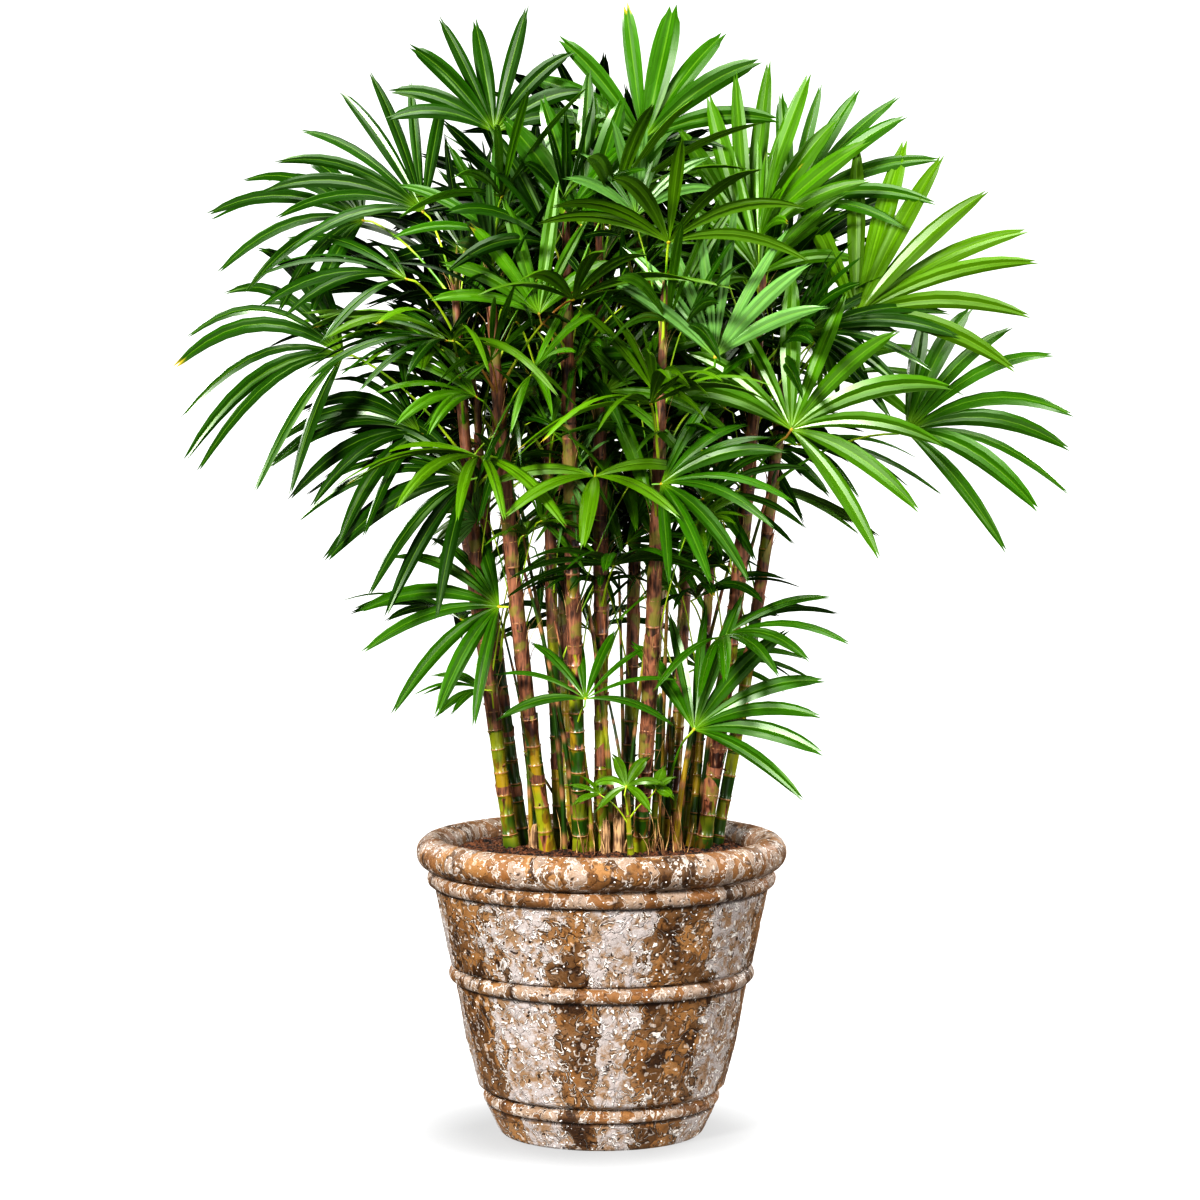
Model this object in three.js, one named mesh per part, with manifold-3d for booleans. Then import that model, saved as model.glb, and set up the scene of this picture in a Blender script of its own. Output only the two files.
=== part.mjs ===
// Lady palm in its pot: a clump of slender canes that carry fan leaves on thin stalks, planted in a
// banded clay pot. Millimetres, +Z up, +Y to the back. The origin is the middle of the pot's flat
// underside.

import * as THREE from 'three';
import Module from 'manifold-3d';

const wasm = await Module();
wasm.setup();

// ---- Driving dimensions ----

const CLEARANCE = 0.3; // between a piece and what it rests on or grows from

const POT = {
  segments: 32,
  footRadius: 162,
  skirtRadius: 181,
  skirtHeight: 42,
  wall: 28,
  floor: 30,
  lowBand: { outer: 187.5, height: 57, tube: 11 },
  middleBand: { outer: 242, height: 254, tube: 12.5 },
  collar: { outer: 276, height: 405, tube: 13 },
  rim: { ringRadius: 267, height: 446, tube: 26 },
  lowerBody: [[195, 76], [215, 150], [230, 238]],
  upperBody: [[239, 270], [264, 391]],
};

const SOIL = { top: 448, flatRadius: 208, edgeDrop: 7 };

const CANE = {
  sides: 6,
  taper: 0.16, // share of the radius that is lost by the growing tip
  flare: 0.28, // extra share of the radius at the foot
  flareHeight: 32,
  curl: 0.5, // how much more of the lean lies in the lower half
  tipRadius: 5,
};

// Canes by foot, growing tip and foot radius. Leaves start at leafFrom; bare shoots have no leaves.
// The number of leaves is what the cane carries besides those in the lists of placed leaves.
const CANES = [
  { foot: [-142, 15], tip: [-228, -30, 1330], radius: 11.5, leafFrom: 960, leaves: 2 },
  { foot: [-122, 46], tip: [-196, 40, 1130], radius: 9.5, leafFrom: 940, leaves: 2 },
  { foot: [-98, 68], tip: [-168, 150, 1300], radius: 10, leafFrom: 1010, leaves: 4 },
  { foot: [-84, -25], tip: [-172, -110, 1370], radius: 11.5, leafFrom: 1070, leaves: 2 },
  { foot: [-66, 10], tip: [-84, -30, 1180], radius: 9.5, leafFrom: 960, leaves: 3 },
  { foot: [-54, 92], tip: [-66, 220, 1330], radius: 10, leafFrom: 1000, leaves: 4 },
  { foot: [-32, -40], tip: [-54, -150, 1400], radius: 12, leafFrom: 1100, leaves: 2 },
  { foot: [1, -22], tip: [-4, -60, 1400], radius: 11, leafFrom: 1020, leaves: 2 },
  { foot: [40, 34], tip: [62, 70, 1450], radius: 10, leafFrom: 1100, leaves: 3 },
  { foot: [60, -46], tip: [94, -170, 1290], radius: 11.5, leafFrom: 940, leaves: 2 },
  { foot: [112, 82], tip: [150, 190, 1290], radius: 10, leafFrom: 960, leaves: 4 },
  { foot: [129, 52], tip: [192, 90, 1180], radius: 8, leafFrom: 930, leaves: 3 },
  { foot: [160, 4], tip: [248, -60, 1320], radius: 12, leafFrom: 1000, leaves: 1 },
  { foot: [182, 45], tip: [292, 60, 1250], radius: 10, leafFrom: 1010, leaves: 2 },
  { foot: [-4, 104], tip: [8, 270, 1360], radius: 10, leafFrom: 990, leaves: 5 },
  { foot: [62, 108], tip: [116, 300, 1230], radius: 9.5, leafFrom: 930, leaves: 5 },
  { foot: [-134, 84], tip: [-248, 230, 1210], radius: 9.5, leafFrom: 920, leaves: 5 },
  { foot: [80, -8], tip: [92, -40, 700], radius: 5.5 },
  { foot: [100, 14], tip: [112, -10, 660], radius: 5.5 },
  { foot: [142, 26], tip: [166, 40, 790], radius: 7 },
  { foot: [46, -86], tip: [40, -92, 556], radius: 4.5 },
];

// Dry stubs of old canes: place, height above the soil, radius.
const STUBS = [
  { foot: [6, -64], height: 62, radius: 7 },
  { foot: [27, -62], height: 84, radius: 7.5 },
  { foot: [-108, -2], height: 46, radius: 6.5 },
];

const LEAF = {
  thickness: 3,
  webShare: 0.14, // share of a leaflet's length that is joined to its neighbours
  outerShortening: 0.14, // how much shorter the outermost leaflets are
  waistShare: 0.5, // where a leaflet is widest
  waistHalf: 14,
  tipHalf: 5.5,
  neck: 14, // straight end of the stalk under the hub
};

const STALK = { radius: 2.6, bend: 0.36, stations: [0, 0.4, 0.75, 1] };

// Placed leaves. The hub is where the leaflets meet, heading and rise aim the middle leaflet
// (0 is +X, 90 is +Y, rise is above level), turn rolls the blade about it, spread is the angle
// from the first leaflet to the last, and reach is the longest leaflet.
const CROWN_LEAVES = [
  { cane: 4, hub: [-166, -60, 1573], heading: 112, rise: 62, turn: 0, spread: 150, reach: 245 },
  { cane: 9, hub: [65, -20, 1563], heading: 86, rise: 70, turn: 0, spread: 150, reach: 245 },
  { cane: 13, hub: [229, -30, 1402], heading: 0, rise: 75, turn: 75, spread: 95, reach: 285 },
  { cane: 4, hub: [-113, 40, 1428], heading: 180, rise: 60, turn: -60, spread: 110, reach: 240 },
  { cane: 1, hub: [-374, 10, 1440], heading: 180, rise: 6, turn: -35, spread: 150, reach: 255 },
  { cane: 1, hub: [-278, -30, 1452], heading: 180, rise: 42, turn: -50, spread: 115, reach: 270 },
  { cane: 1, hub: [-399, -80, 1228], heading: 180, rise: 0, turn: -58, spread: 142, reach: 285 },
  { cane: 1, hub: [-282, -50, 1106], heading: 180, rise: 0, turn: -50, spread: 130, reach: 240 },
  { cane: 1, hub: [-206, -100, 1036], heading: 180, rise: -14, turn: -55, spread: 120, reach: 262 },
  { cane: 13, hub: [289, -170, 1115], heading: 0, rise: 56, turn: 72, spread: 205, reach: 262 },
  { cane: 14, hub: [476, -40, 1110], heading: 0, rise: 14, turn: 58, spread: 134, reach: 285 },
  { cane: 14, hub: [395, -60, 1290], heading: 0, rise: 40, turn: 60, spread: 130, reach: 296 },
  { cane: 13, hub: [298, 20, 1460], heading: 0, rise: 45, turn: 50, spread: 115, reach: 255 },
  { cane: 10, hub: [172, -160, 1225], heading: 0, rise: 88, turn: 80, spread: 120, reach: 245 },
  { cane: 8, hub: [-30, -104, 1425], heading: 0, rise: 86, turn: 85, spread: 90, reach: 225 },
  { cane: 7, hub: [-95, -160, 1290], heading: 180, rise: 75, turn: -78, spread: 130, reach: 200 },
  { cane: 8, hub: [-10, -210, 1045], heading: -90, rise: -28, turn: 0, spread: 205, reach: 190 },
  { cane: 10, hub: [90, -220, 1034], heading: -20, rise: 4, turn: 50, spread: 150, reach: 220 },
];

// Leaves low on the canes, each a piece of its own. The width is a share of the usual leaflet's.
const LOW_LEAVES = [
  { cane: 2, hub: [-160, -70, 838], heading: 180, rise: 2, turn: -48, spread: 155, reach: 235 },
  { cane: 1, hub: [-186, -46, 706], heading: 190, rise: 6, turn: -25, spread: 110, reach: 105, width: 0.6 },
  { cane: 7, hub: [-25, -134, 700], heading: -90, rise: 32, turn: 0, spread: 190, reach: 165, width: 0.75 },
  { cane: 13, hub: [187, -86, 792], heading: -38, rise: 12, turn: 20, spread: 190, reach: 215 },
  { cane: 19, hub: [143, -108, 650], heading: 0, rise: 50, turn: 60, spread: 150, reach: 240 },
  { cane: 8, hub: [18, -130, 905], heading: -90, rise: 16, turn: 0, spread: 190, reach: 200 },
  { cane: 12, hub: [150, 10, 846], heading: -50, rise: 20, turn: 10, spread: 150, reach: 180 },
  { cane: 15, hub: [-20, 240, 780], heading: 100, rise: 14, turn: 0, spread: 180, reach: 215 },
  { cane: 16, hub: [160, 210, 720], heading: 60, rise: 10, turn: 0, spread: 170, reach: 200 },
  { cane: 17, hub: [-230, 190, 800], heading: 140, rise: 12, turn: 10, spread: 180, reach: 225 },
  { cane: 21, hub: [38, -118, 562], heading: -100, rise: 24, turn: 0, spread: 200, reach: 112 },
];

// The leaves that grow by rule: seed, tries for each leaf, and the ranges their sizes are drawn from.
const GROWTH = {
  seed: 20417,
  tries: 14,
  leaflets: 8,
  stalk: [130, 250],
  reach: [225, 268],
  spread: [140, 178],
  turn: [-22, 22],
  lowRise: 8,
  topRise: 66,
  bladeDrop: 16, // how much nearer to level the blade lies than its stalk
  room: 90, // further off than this, a neighbour no longer matters
};

const SAG = 0.17; // how far a level leaflet's tip hangs, as a share of its length

// The space that the ruled leaves keep to.
const CROWN_SPACE = { centre: [25, 20, 1165], half: [600, 590, 590] };

const COLOURS = {
  pot: { color: 0xa98860, roughness: 0.55, metalness: 0 },
  soil: { color: 0x2e1a12, roughness: 0.95, metalness: 0 },
  cane: { color: 0x74753a, roughness: 0.55, metalness: 0 },
  stub: { color: 0xb59a76, roughness: 0.85, metalness: 0 },
  leaf: { color: 0x2f7a1c, roughness: 0.45, metalness: 0 },
};

// ---- Small helpers ----

const UP = new THREE.Vector3(0, 0, 1);
const GOLDEN = 137.508;

function radians(degrees) {
  return THREE.MathUtils.degToRad(degrees);
}

function mix(low, high, share) {
  return low + (high - low) * share;
}

function drawer(seed) {
  let state = seed;
  return () => {
    state = (state * 1664525 + 1013904223) % 4294967296;
    return state / 4294967296;
  };
}

function numbered(name, index) {
  return `${name}_${String(index).padStart(2, '0')}`;
}

// A closed surface that is stitched together from shared corners.
class Shell {
  corners = [];
  faces = [];

  corner(point) {
    this.corners.push(point.x, point.y, point.z);
    return this.corners.length / 3 - 1;
  }

  face(a, b, c) {
    this.faces.push(a, b, c);
  }

  quad(a, b, c, d) {
    this.face(a, b, c);
    this.face(a, c, d);
  }

  solid() {
    const vertProperties = new Float32Array(this.corners);
    const triVerts = new Uint32Array(this.faces);
    return new wasm.Manifold(new wasm.Mesh({ numProp: 3, vertProperties, triVerts }));
  }
}

function asGeometry(solid) {
  const mesh = solid.getMesh();
  const geometry = new THREE.BufferGeometry();
  geometry.setAttribute('position', new THREE.BufferAttribute(mesh.vertProperties, 3));
  geometry.setIndex(new THREE.BufferAttribute(mesh.triVerts, 1));
  geometry.computeVertexNormals();
  return geometry;
}

const palm = new THREE.Group();

function addPiece(name, geometry, look) {
  const piece = new THREE.Mesh(geometry, new THREE.MeshStandardMaterial(look));
  piece.name = name;
  palm.add(piece);
}

// ---- Pot and soil ----

function arc(centreRadius, height, tube, from, to, steps) {
  const points = [];
  for (let step = 0; step <= steps; step++) {
    const angle = radians(mix(from, to, step / steps));
    points.push([centreRadius + tube * Math.cos(angle), height + tube * Math.sin(angle)]);
  }
  return points;
}

function band({ outer, height, tube }) {
  return arc(outer - tube, height, tube, -80, 80, 4);
}

// The wall's inner side, from the rim down to the floor.
function innerWall() {
  const [topRadius, topHeight] = POT.upperBody[1];
  const [waistRadius, waistHeight] = POT.lowerBody[2];
  const [lowRadius, lowHeight] = POT.lowerBody[0];
  return [
    [topRadius - POT.wall, topHeight],
    [waistRadius - POT.wall, waistHeight],
    [lowRadius - POT.wall, lowHeight],
    [POT.skirtRadius - POT.wall, POT.floor],
  ];
}

function latheSolid(outline) {
  const profile = outline.map(([radius, height]) => new THREE.Vector2(radius, height));
  const geometry = new THREE.LatheGeometry(profile, POT.segments);
  geometry.rotateX(Math.PI / 2);
  return geometry;
}

function pot() {
  const { rim } = POT;
  return latheSolid([
    [0, 0],
    [POT.footRadius, 0],
    [POT.skirtRadius, POT.skirtHeight],
    ...band(POT.lowBand),
    ...POT.lowerBody,
    ...band(POT.middleBand),
    ...POT.upperBody,
    ...band(POT.collar),
    ...arc(rim.ringRadius, rim.height, rim.tube, -75, 180, 8),
    ...innerWall(),
    [0, POT.floor],
  ]);
}

function soil() {
  const wall = innerWall().reverse();
  const [topRadius, topHeight] = wall[wall.length - 1];
  const slope = (POT.rim.ringRadius - POT.rim.tube - topRadius) / (POT.rim.height - topHeight);
  const edgeHeight = SOIL.top - SOIL.edgeDrop;
  const edgeRadius = topRadius + slope * (edgeHeight - topHeight);
  const [footRadius] = wall[0];
  return latheSolid([
    [0, POT.floor + CLEARANCE],
    [footRadius - CLEARANCE, POT.floor + CLEARANCE],
    ...wall.slice(1).map(([radius, height]) => [radius - CLEARANCE, height]),
    [edgeRadius - CLEARANCE, edgeHeight],
    [SOIL.flatRadius, SOIL.top],
    [0, SOIL.top],
  ]);
}

// ---- Canes ----

// The cane's axis at a height: it leans out fastest near the foot, then stands more upright.
function caneAxis(cane, height) {
  const [tipX, tipY, tipZ] = cane.tip;
  const share = (height - SOIL.top) / (tipZ - SOIL.top);
  const lean = share * (1 + CANE.curl * (1 - share));
  return new THREE.Vector3(mix(cane.foot[0], tipX, lean), mix(cane.foot[1], tipY, lean), height);
}

function caneRadius(cane, height) {
  const above = height - SOIL.top;
  const share = above / (cane.tip[2] - SOIL.top);
  const flare = CANE.flare * Math.max(0, 1 - above / CANE.flareHeight);
  return cane.radius * (1 - CANE.taper * share + flare);
}

// A stem of level rings; rings hold { centre, radius }.
function stem(rings, sides) {
  const shell = new Shell();
  const loops = rings.map(({ centre, radius }) => {
    const loop = [];
    for (let side = 0; side < sides; side++) {
      const angle = (2 * Math.PI * side) / sides;
      const offset = new THREE.Vector3(Math.cos(angle), Math.sin(angle), 0);
      loop.push(shell.corner(offset.multiplyScalar(radius).add(centre)));
    }
    return loop;
  });
  for (let ring = 0; ring + 1 < loops.length; ring++) {
    for (let side = 0; side < sides; side++) {
      const next = (side + 1) % sides;
      shell.quad(loops[ring][side], loops[ring][next], loops[ring + 1][next], loops[ring + 1][side]);
    }
  }
  const bottom = loops[0];
  const top = loops[loops.length - 1];
  for (let side = 1; side + 1 < sides; side++) {
    shell.face(bottom[0], bottom[side + 1], bottom[side]);
    shell.face(top[0], top[side], top[side + 1]);
  }
  return shell.solid();
}

function caneRings(cane) {
  const start = SOIL.top + CLEARANCE;
  const end = cane.leafFrom ?? cane.tip[2];
  const heights = [start, SOIL.top + CANE.flareHeight];
  for (const share of [0.3, 0.62, 1]) heights.push(mix(start, end, share));
  return heights.map((height) => ({ centre: caneAxis(cane, height), radius: caneRadius(cane, height) }));
}

// The flat side of a cane that looks most nearly one way: a point on it, and where it faces.
function caneFlat(cane, height, toward) {
  const rings = caneRings(cane);
  const above = rings.findIndex(({ centre }) => centre.z > height);
  const turn = (2 * Math.PI) / CANE.sides;
  const angle = (Math.floor(Math.atan2(toward.y, toward.x) / turn) + 0.5) * turn;
  const outward = new THREE.Vector3(Math.cos(angle), Math.sin(angle), 0);
  const edge = new THREE.Vector3(-Math.sin(angle), Math.cos(angle), 0);
  const [low, high] = [rings[above - 1], rings[above]].map(({ centre, radius }) =>
    centre.clone().addScaledVector(outward, radius * Math.cos(turn / 2)));
  const point = low.clone().lerp(high, (height - low.z) / (high.z - low.z));
  return { point, facing: edge.cross(high.sub(low)).normalize() };
}

// The leafy top of a cane, which the leaf stalks grow from.
function leafyStem(cane) {
  const start = cane.leafFrom + CLEARANCE;
  const rings = [0, 0.5, 1].map((share) => {
    const height = mix(start, cane.tip[2], share);
    return { centre: caneAxis(cane, height), radius: mix(caneRadius(cane, start), CANE.tipRadius, share) };
  });
  return stem(rings, CANE.sides);
}

// ---- Fan leaves ----

// The blade's own directions: along is the middle leaflet, across is level until the blade is
// turned, and out is the upper face.
function bladeFrame(leaf) {
  const heading = radians(leaf.heading);
  const rise = radians(leaf.rise);
  const turn = radians(leaf.turn);
  const flat = new THREE.Vector3(Math.cos(heading), Math.sin(heading), 0);
  const along = flat.clone().multiplyScalar(Math.cos(rise)).addScaledVector(UP, Math.sin(rise));
  const level = new THREE.Vector3(-Math.sin(heading), Math.cos(heading), 0);
  const upper = along.clone().cross(level);
  const across = level.clone().multiplyScalar(Math.cos(turn)).addScaledVector(upper, Math.sin(turn));
  return { along, across, out: along.clone().cross(across) };
}

function leafletAngle(leaf, place) {
  return radians(leaf.spread) * (place / (leaf.leaflets - 1) - 0.5);
}

function leafletLength(leaf, index) {
  const outward = (2 * index) / (leaf.leaflets - 1) - 1;
  return leaf.reach * (1 - LEAF.outerShortening * outward * outward);
}

// A point of the blade: distance from the hub, offset to the side, height above the blade.
function bladePoint(leaf, angle, length, distance, offset, height) {
  const { along, across, out } = leaf.frame;
  const direction = along.clone().multiplyScalar(Math.cos(angle)).addScaledVector(across, Math.sin(angle));
  const sideways = across.clone().multiplyScalar(Math.cos(angle)).addScaledVector(along, -Math.sin(angle));
  const level = Math.sqrt(Math.max(0, 1 - direction.z * direction.z));
  const point = leaf.hub.clone().addScaledVector(direction, distance);
  point.addScaledVector(sideways, offset).addScaledVector(out, height);
  point.z -= SAG * length * level * (distance / length) ** 2;
  return point;
}

// The two rings beyond the web of one leaflet, each two edges and a ridge.
function leafletRings(leaf, index) {
  const angle = leafletAngle(leaf, index);
  const length = leafletLength(leaf, index);
  const width = leaf.width ?? 1;
  const at = (share, half) => [
    bladePoint(leaf, angle, length, length * share, -half * width, 0),
    bladePoint(leaf, angle, length, length * share, half * width, 0),
    bladePoint(leaf, angle, length, length * share, 0, LEAF.thickness),
  ];
  return [at(LEAF.waistShare, LEAF.waistHalf), at(1, LEAF.tipHalf)];
}

function webPoint(leaf, place, height) {
  const radius = leaf.reach * LEAF.webShare;
  return bladePoint(leaf, leafletAngle(leaf, place), leaf.reach, radius, 0, height);
}

// Stitches one leaflet onto its root: the notch on each side and the ridge between them.
function stitchLeaflet(shell, rings, notch, nextNotch, ridge) {
  let [right, left, top] = [notch, nextNotch, ridge];
  for (const ring of rings) {
    const [nextRight, nextLeft, nextTop] = ring.map((point) => shell.corner(point));
    shell.quad(right, nextRight, nextTop, top);
    shell.quad(top, nextTop, nextLeft, left);
    shell.quad(right, left, nextLeft, nextRight);
    [right, left, top] = [nextRight, nextLeft, nextTop];
  }
  shell.face(right, left, top);
}

// One leaflet by itself, to see whether it meets anything.
function leafletSolid(leaf, index) {
  const shell = new Shell();
  const notch = shell.corner(webPoint(leaf, index - 0.5, 0));
  const nextNotch = shell.corner(webPoint(leaf, index + 0.5, 0));
  const ridge = shell.corner(webPoint(leaf, index, LEAF.thickness));
  shell.face(notch, ridge, nextNotch);
  stitchLeaflet(shell, leafletRings(leaf, index), notch, nextNotch, ridge);
  return shell.solid();
}

// The stalk's way from its root to the hub, bending over towards the blade.
function stalkPath(leaf) {
  const end = leaf.hub.clone().addScaledVector(leaf.frame.along, -LEAF.neck);
  const gap = end.distanceTo(leaf.root);
  const bend = leaf.root.clone().lerp(end, 0.5).addScaledVector(UP, gap * STALK.bend * 0.5);
  const curve = new THREE.QuadraticBezierCurve3(leaf.root, bend, end);
  return [...STALK.stations.map((share) => curve.getPoint(share)), leaf.hub];
}

// Three-sided rings along the stalk, carried back from the hub without twist.
function stalkRings(leaf) {
  const path = stalkPath(leaf);
  const { along, across, out } = leaf.frame;
  const offsets = [90, 210, 330].map((degrees) => {
    const angle = radians(degrees);
    return across.clone().multiplyScalar(Math.cos(angle)).addScaledVector(out, Math.sin(angle));
  });
  let heading = along;
  const rings = [];
  for (let station = path.length - 1; station >= 0; station--) {
    if (station < path.length - 1) {
      const before = path[Math.max(station - 1, 0)];
      let tangent = path[station + 1].clone().sub(before).normalize();
      if (station === 0 && leaf.rootFacing) tangent = leaf.rootFacing;
      const swing = new THREE.Quaternion().setFromUnitVectors(heading, tangent);
      offsets.forEach((offset) => offset.applyQuaternion(swing));
      heading = tangent;
    }
    rings.push(offsets.map((offset) => path[station].clone().addScaledVector(offset, STALK.radius)));
  }
  return rings;
}

// A whole leaf: stalk, hub and the leaflets that keep clear. The stalk's last ring is the hub:
// its first corner lies above the blade and the other two below it.
function leafSolid(leaf, kept) {
  const shell = new Shell();
  const rings = stalkRings(leaf).map((ring) => ring.map((point) => shell.corner(point)));
  const [top, right, left] = rings[0];
  const middle = Math.floor(leaf.leaflets / 2);
  const notches = [];
  for (let place = 0; place <= leaf.leaflets; place++) {
    notches.push(shell.corner(webPoint(leaf, place - 0.5, 0)));
  }
  for (let index = 0; index < leaf.leaflets; index++) {
    const ridge = shell.corner(webPoint(leaf, index, LEAF.thickness));
    shell.quad(top, notches[index], ridge, notches[index + 1]);
    shell.face(index < middle ? right : left, notches[index + 1], notches[index]);
    const blade = kept.includes(index) ? leafletRings(leaf, index) : [];
    stitchLeaflet(shell, blade, notches[index], notches[index + 1], ridge);
  }
  shell.face(right, left, notches[middle]);
  shell.face(right, notches[0], top);
  shell.face(top, notches[leaf.leaflets], left);
  for (let ring = 0; ring + 1 < rings.length; ring++) {
    const [nearTop, nearRight, nearLeft] = rings[ring];
    const [farTop, farRight, farLeft] = rings[ring + 1];
    shell.quad(nearRight, nearTop, farTop, farRight);
    shell.quad(nearTop, nearLeft, farLeft, farTop);
    shell.quad(nearLeft, nearRight, farRight, farLeft);
  }
  const [lastTop, lastRight, lastLeft] = rings[rings.length - 1];
  shell.face(lastRight, lastTop, lastLeft);
  return shell.solid();
}

// ---- Where leaves grow ----

// Sets a placed leaf on its cane: the stalk starts lower the further out the hub lies.
function seatLeaf(placed, lowest, highest) {
  const cane = CANES[placed.cane - 1];
  const hub = new THREE.Vector3(...placed.hub);
  const leaf = { leaflets: GROWTH.leaflets, ...placed, hub };
  leaf.frame = bladeFrame(leaf);
  const beside = caneAxis(cane, hub.z);
  const off = Math.hypot(hub.x - beside.x, hub.y - beside.y);
  const height = THREE.MathUtils.clamp(hub.z - Math.max(50, 0.9 * off), lowest, highest);
  leaf.root = caneAxis(cane, height);
  return leaf;
}

// Points that stand for a leaf when room is looked for.
function leafProbe(leaf) {
  const probe = [leaf.hub, leaf.root.clone().lerp(leaf.hub, 0.5)];
  for (let index = 0; index < leaf.leaflets; index++) {
    const angle = leafletAngle(leaf, index);
    const length = leafletLength(leaf, index);
    for (const share of [0.4, 0.7, 1]) {
      probe.push(bladePoint(leaf, angle, length, length * share, 0, 0));
    }
  }
  return probe;
}

function outsideCrown(point) {
  const { centre, half } = CROWN_SPACE;
  const x = (point.x - centre[0]) / half[0];
  const y = (point.y - centre[1]) / half[1];
  const z = (point.z - centre[2]) / half[2];
  return x * x + y * y + z * z > 1;
}

function roomFor(probe, crowd) {
  let room = 0;
  for (const point of probe) {
    let nearest = GROWTH.room;
    for (const other of crowd) nearest = Math.min(nearest, point.distanceTo(other));
    room += outsideCrown(point) ? -GROWTH.room : nearest;
  }
  return room;
}

// A leaf that grows by rule: heights are shared out along the leafy stem, the lower ones lean out
// and the upper ones stand up, and of several drawn headings the roomiest is kept.
function growLeaf(cane, order, draw, crowd) {
  let best = null;
  for (let attempt = 0; attempt < GROWTH.tries; attempt++) {
    const share = (order + 0.15 + 0.7 * draw()) / cane.leaves;
    const heading = order * GOLDEN + 360 * draw();
    const rise = mix(GROWTH.lowRise, GROWTH.topRise, share) + 16 * (draw() - 0.5);
    const stalk = mix(...GROWTH.stalk, draw());
    const leaf = {
      leaflets: GROWTH.leaflets,
      heading,
      rise: rise - GROWTH.bladeDrop,
      turn: mix(...GROWTH.turn, draw()),
      spread: mix(...GROWTH.spread, draw()),
      reach: mix(...GROWTH.reach, draw()),
    };
    leaf.frame = bladeFrame(leaf);
    leaf.root = caneAxis(cane, mix(cane.leafFrom + 20, cane.tip[2] - 12, share));
    const aim = bladeFrame({ heading, rise: rise + 12, turn: 0 }).along;
    leaf.hub = leaf.root.clone().addScaledVector(aim, stalk);
    leaf.room = roomFor(leafProbe(leaf), crowd);
    if (best === null || leaf.room > best.room) best = leaf;
  }
  return best;
}

// ---- Keeping the pieces apart ----

const obstacles = [];

function claimSpace(solid, owner) {
  obstacles.push({ solid, owner, box: solid.boundingBox() });
}

function boxesMeet(a, b) {
  return [0, 1, 2].every((axis) => a.min[axis] < b.max[axis] && b.min[axis] < a.max[axis]);
}

function meetsAny(solid, ignored) {
  const box = solid.boundingBox();
  return obstacles.some((other) => {
    if (other.owner === ignored || !boxesMeet(box, other.box)) return false;
    return !solid.intersect(other.solid).isEmpty();
  });
}

// The stalks come first: a leaf whose stalk or hub would meet another piece is left out. Its
// claim is its own, so that only its own leaflets may touch it.
function standsClear(leaf) {
  const bare = leafSolid(leaf, []);
  if (meetsAny(bare, leaf.piece)) return false;
  leaf.bare = { solid: bare, owner: leaf.piece, box: bare.boundingBox() };
  obstacles.push(leaf.bare);
  return true;
}

// Then each leaflet that would meet anything is skipped.
function clearLeaflets(leaf) {
  leaf.bare.owner = leaf;
  const kept = [];
  for (let index = 0; index < leaf.leaflets; index++) {
    const leaflet = leafletSolid(leaf, index);
    if (meetsAny(leaflet, leaf)) continue;
    kept.push(index);
    claimSpace(leaflet, leaf.piece);
  }
  leaf.bare.owner = leaf.piece;
  return kept;
}

// ---- Building ----

addPiece('pot', pot(), COLOURS.pot);
addPiece('soil', soil(), COLOURS.soil);

CANES.forEach((cane, index) => {
  cane.name = numbered('cane', index + 1);
  cane.crown = numbered('crown', index + 1);
  const solid = stem(caneRings(cane), CANE.sides);
  claimSpace(solid, cane.name);
  addPiece(cane.name, asGeometry(solid), COLOURS.cane);
});

STUBS.forEach(({ foot, height, radius }, index) => {
  const [x, y] = foot;
  const rings = [
    { centre: new THREE.Vector3(x, y, SOIL.top + CLEARANCE), radius: radius * (1 + CANE.flare) },
    { centre: new THREE.Vector3(x, y, SOIL.top + height * 0.4), radius },
    { centre: new THREE.Vector3(x + 2, y - 2, SOIL.top + height), radius: radius * 0.8 },
  ];
  const solid = stem(rings, CANE.sides);
  const name = numbered('stub', index + 1);
  claimSpace(solid, name);
  addPiece(name, asGeometry(solid), COLOURS.stub);
});

const leafyCanes = CANES.filter((cane) => cane.leafFrom);
const crowd = [];
for (const cane of leafyCanes) {
  cane.stem = leafyStem(cane);
  claimSpace(cane.stem, cane.crown);
  for (let height = cane.leafFrom; height < cane.tip[2]; height += 60) {
    crowd.push(caneAxis(cane, height));
  }
}

const leaves = [];

LOW_LEAVES.forEach((placed, index) => {
  const cane = CANES[placed.cane - 1];
  const leaf = seatLeaf(placed, SOIL.top + 40, (cane.leafFrom ?? cane.tip[2]) - 15);
  const { point, facing } = caneFlat(cane, leaf.root.z, leaf.hub.clone().sub(leaf.root));
  leaf.rootFacing = facing;
  leaf.root = point.addScaledVector(facing, CLEARANCE);
  leaf.piece = numbered('frond', index + 1);
  leaves.push(leaf);
});

for (const placed of CROWN_LEAVES) {
  const cane = CANES[placed.cane - 1];
  const leaf = seatLeaf(placed, cane.leafFrom + 15, cane.tip[2] - 12);
  leaf.piece = cane.crown;
  leaves.push(leaf);
}

crowd.push(...leaves.flatMap(leafProbe));
const draw = drawer(GROWTH.seed);
const mostLeaves = Math.max(...leafyCanes.map((cane) => cane.leaves));
for (let order = 0; order < mostLeaves; order++) {
  for (const cane of leafyCanes.filter(({ leaves: wanted }) => order < wanted)) {
    const leaf = growLeaf(cane, order, draw, crowd);
    leaf.piece = cane.crown;
    crowd.push(...leafProbe(leaf));
    leaves.push(leaf);
  }
}

const standing = leaves.filter(standsClear);
for (const leaf of standing) leaf.kept = clearLeaflets(leaf);

for (const leaf of standing.filter(({ piece }) => piece.startsWith('frond'))) {
  addPiece(leaf.piece, asGeometry(leafSolid(leaf, leaf.kept)), COLOURS.leaf);
}

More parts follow.
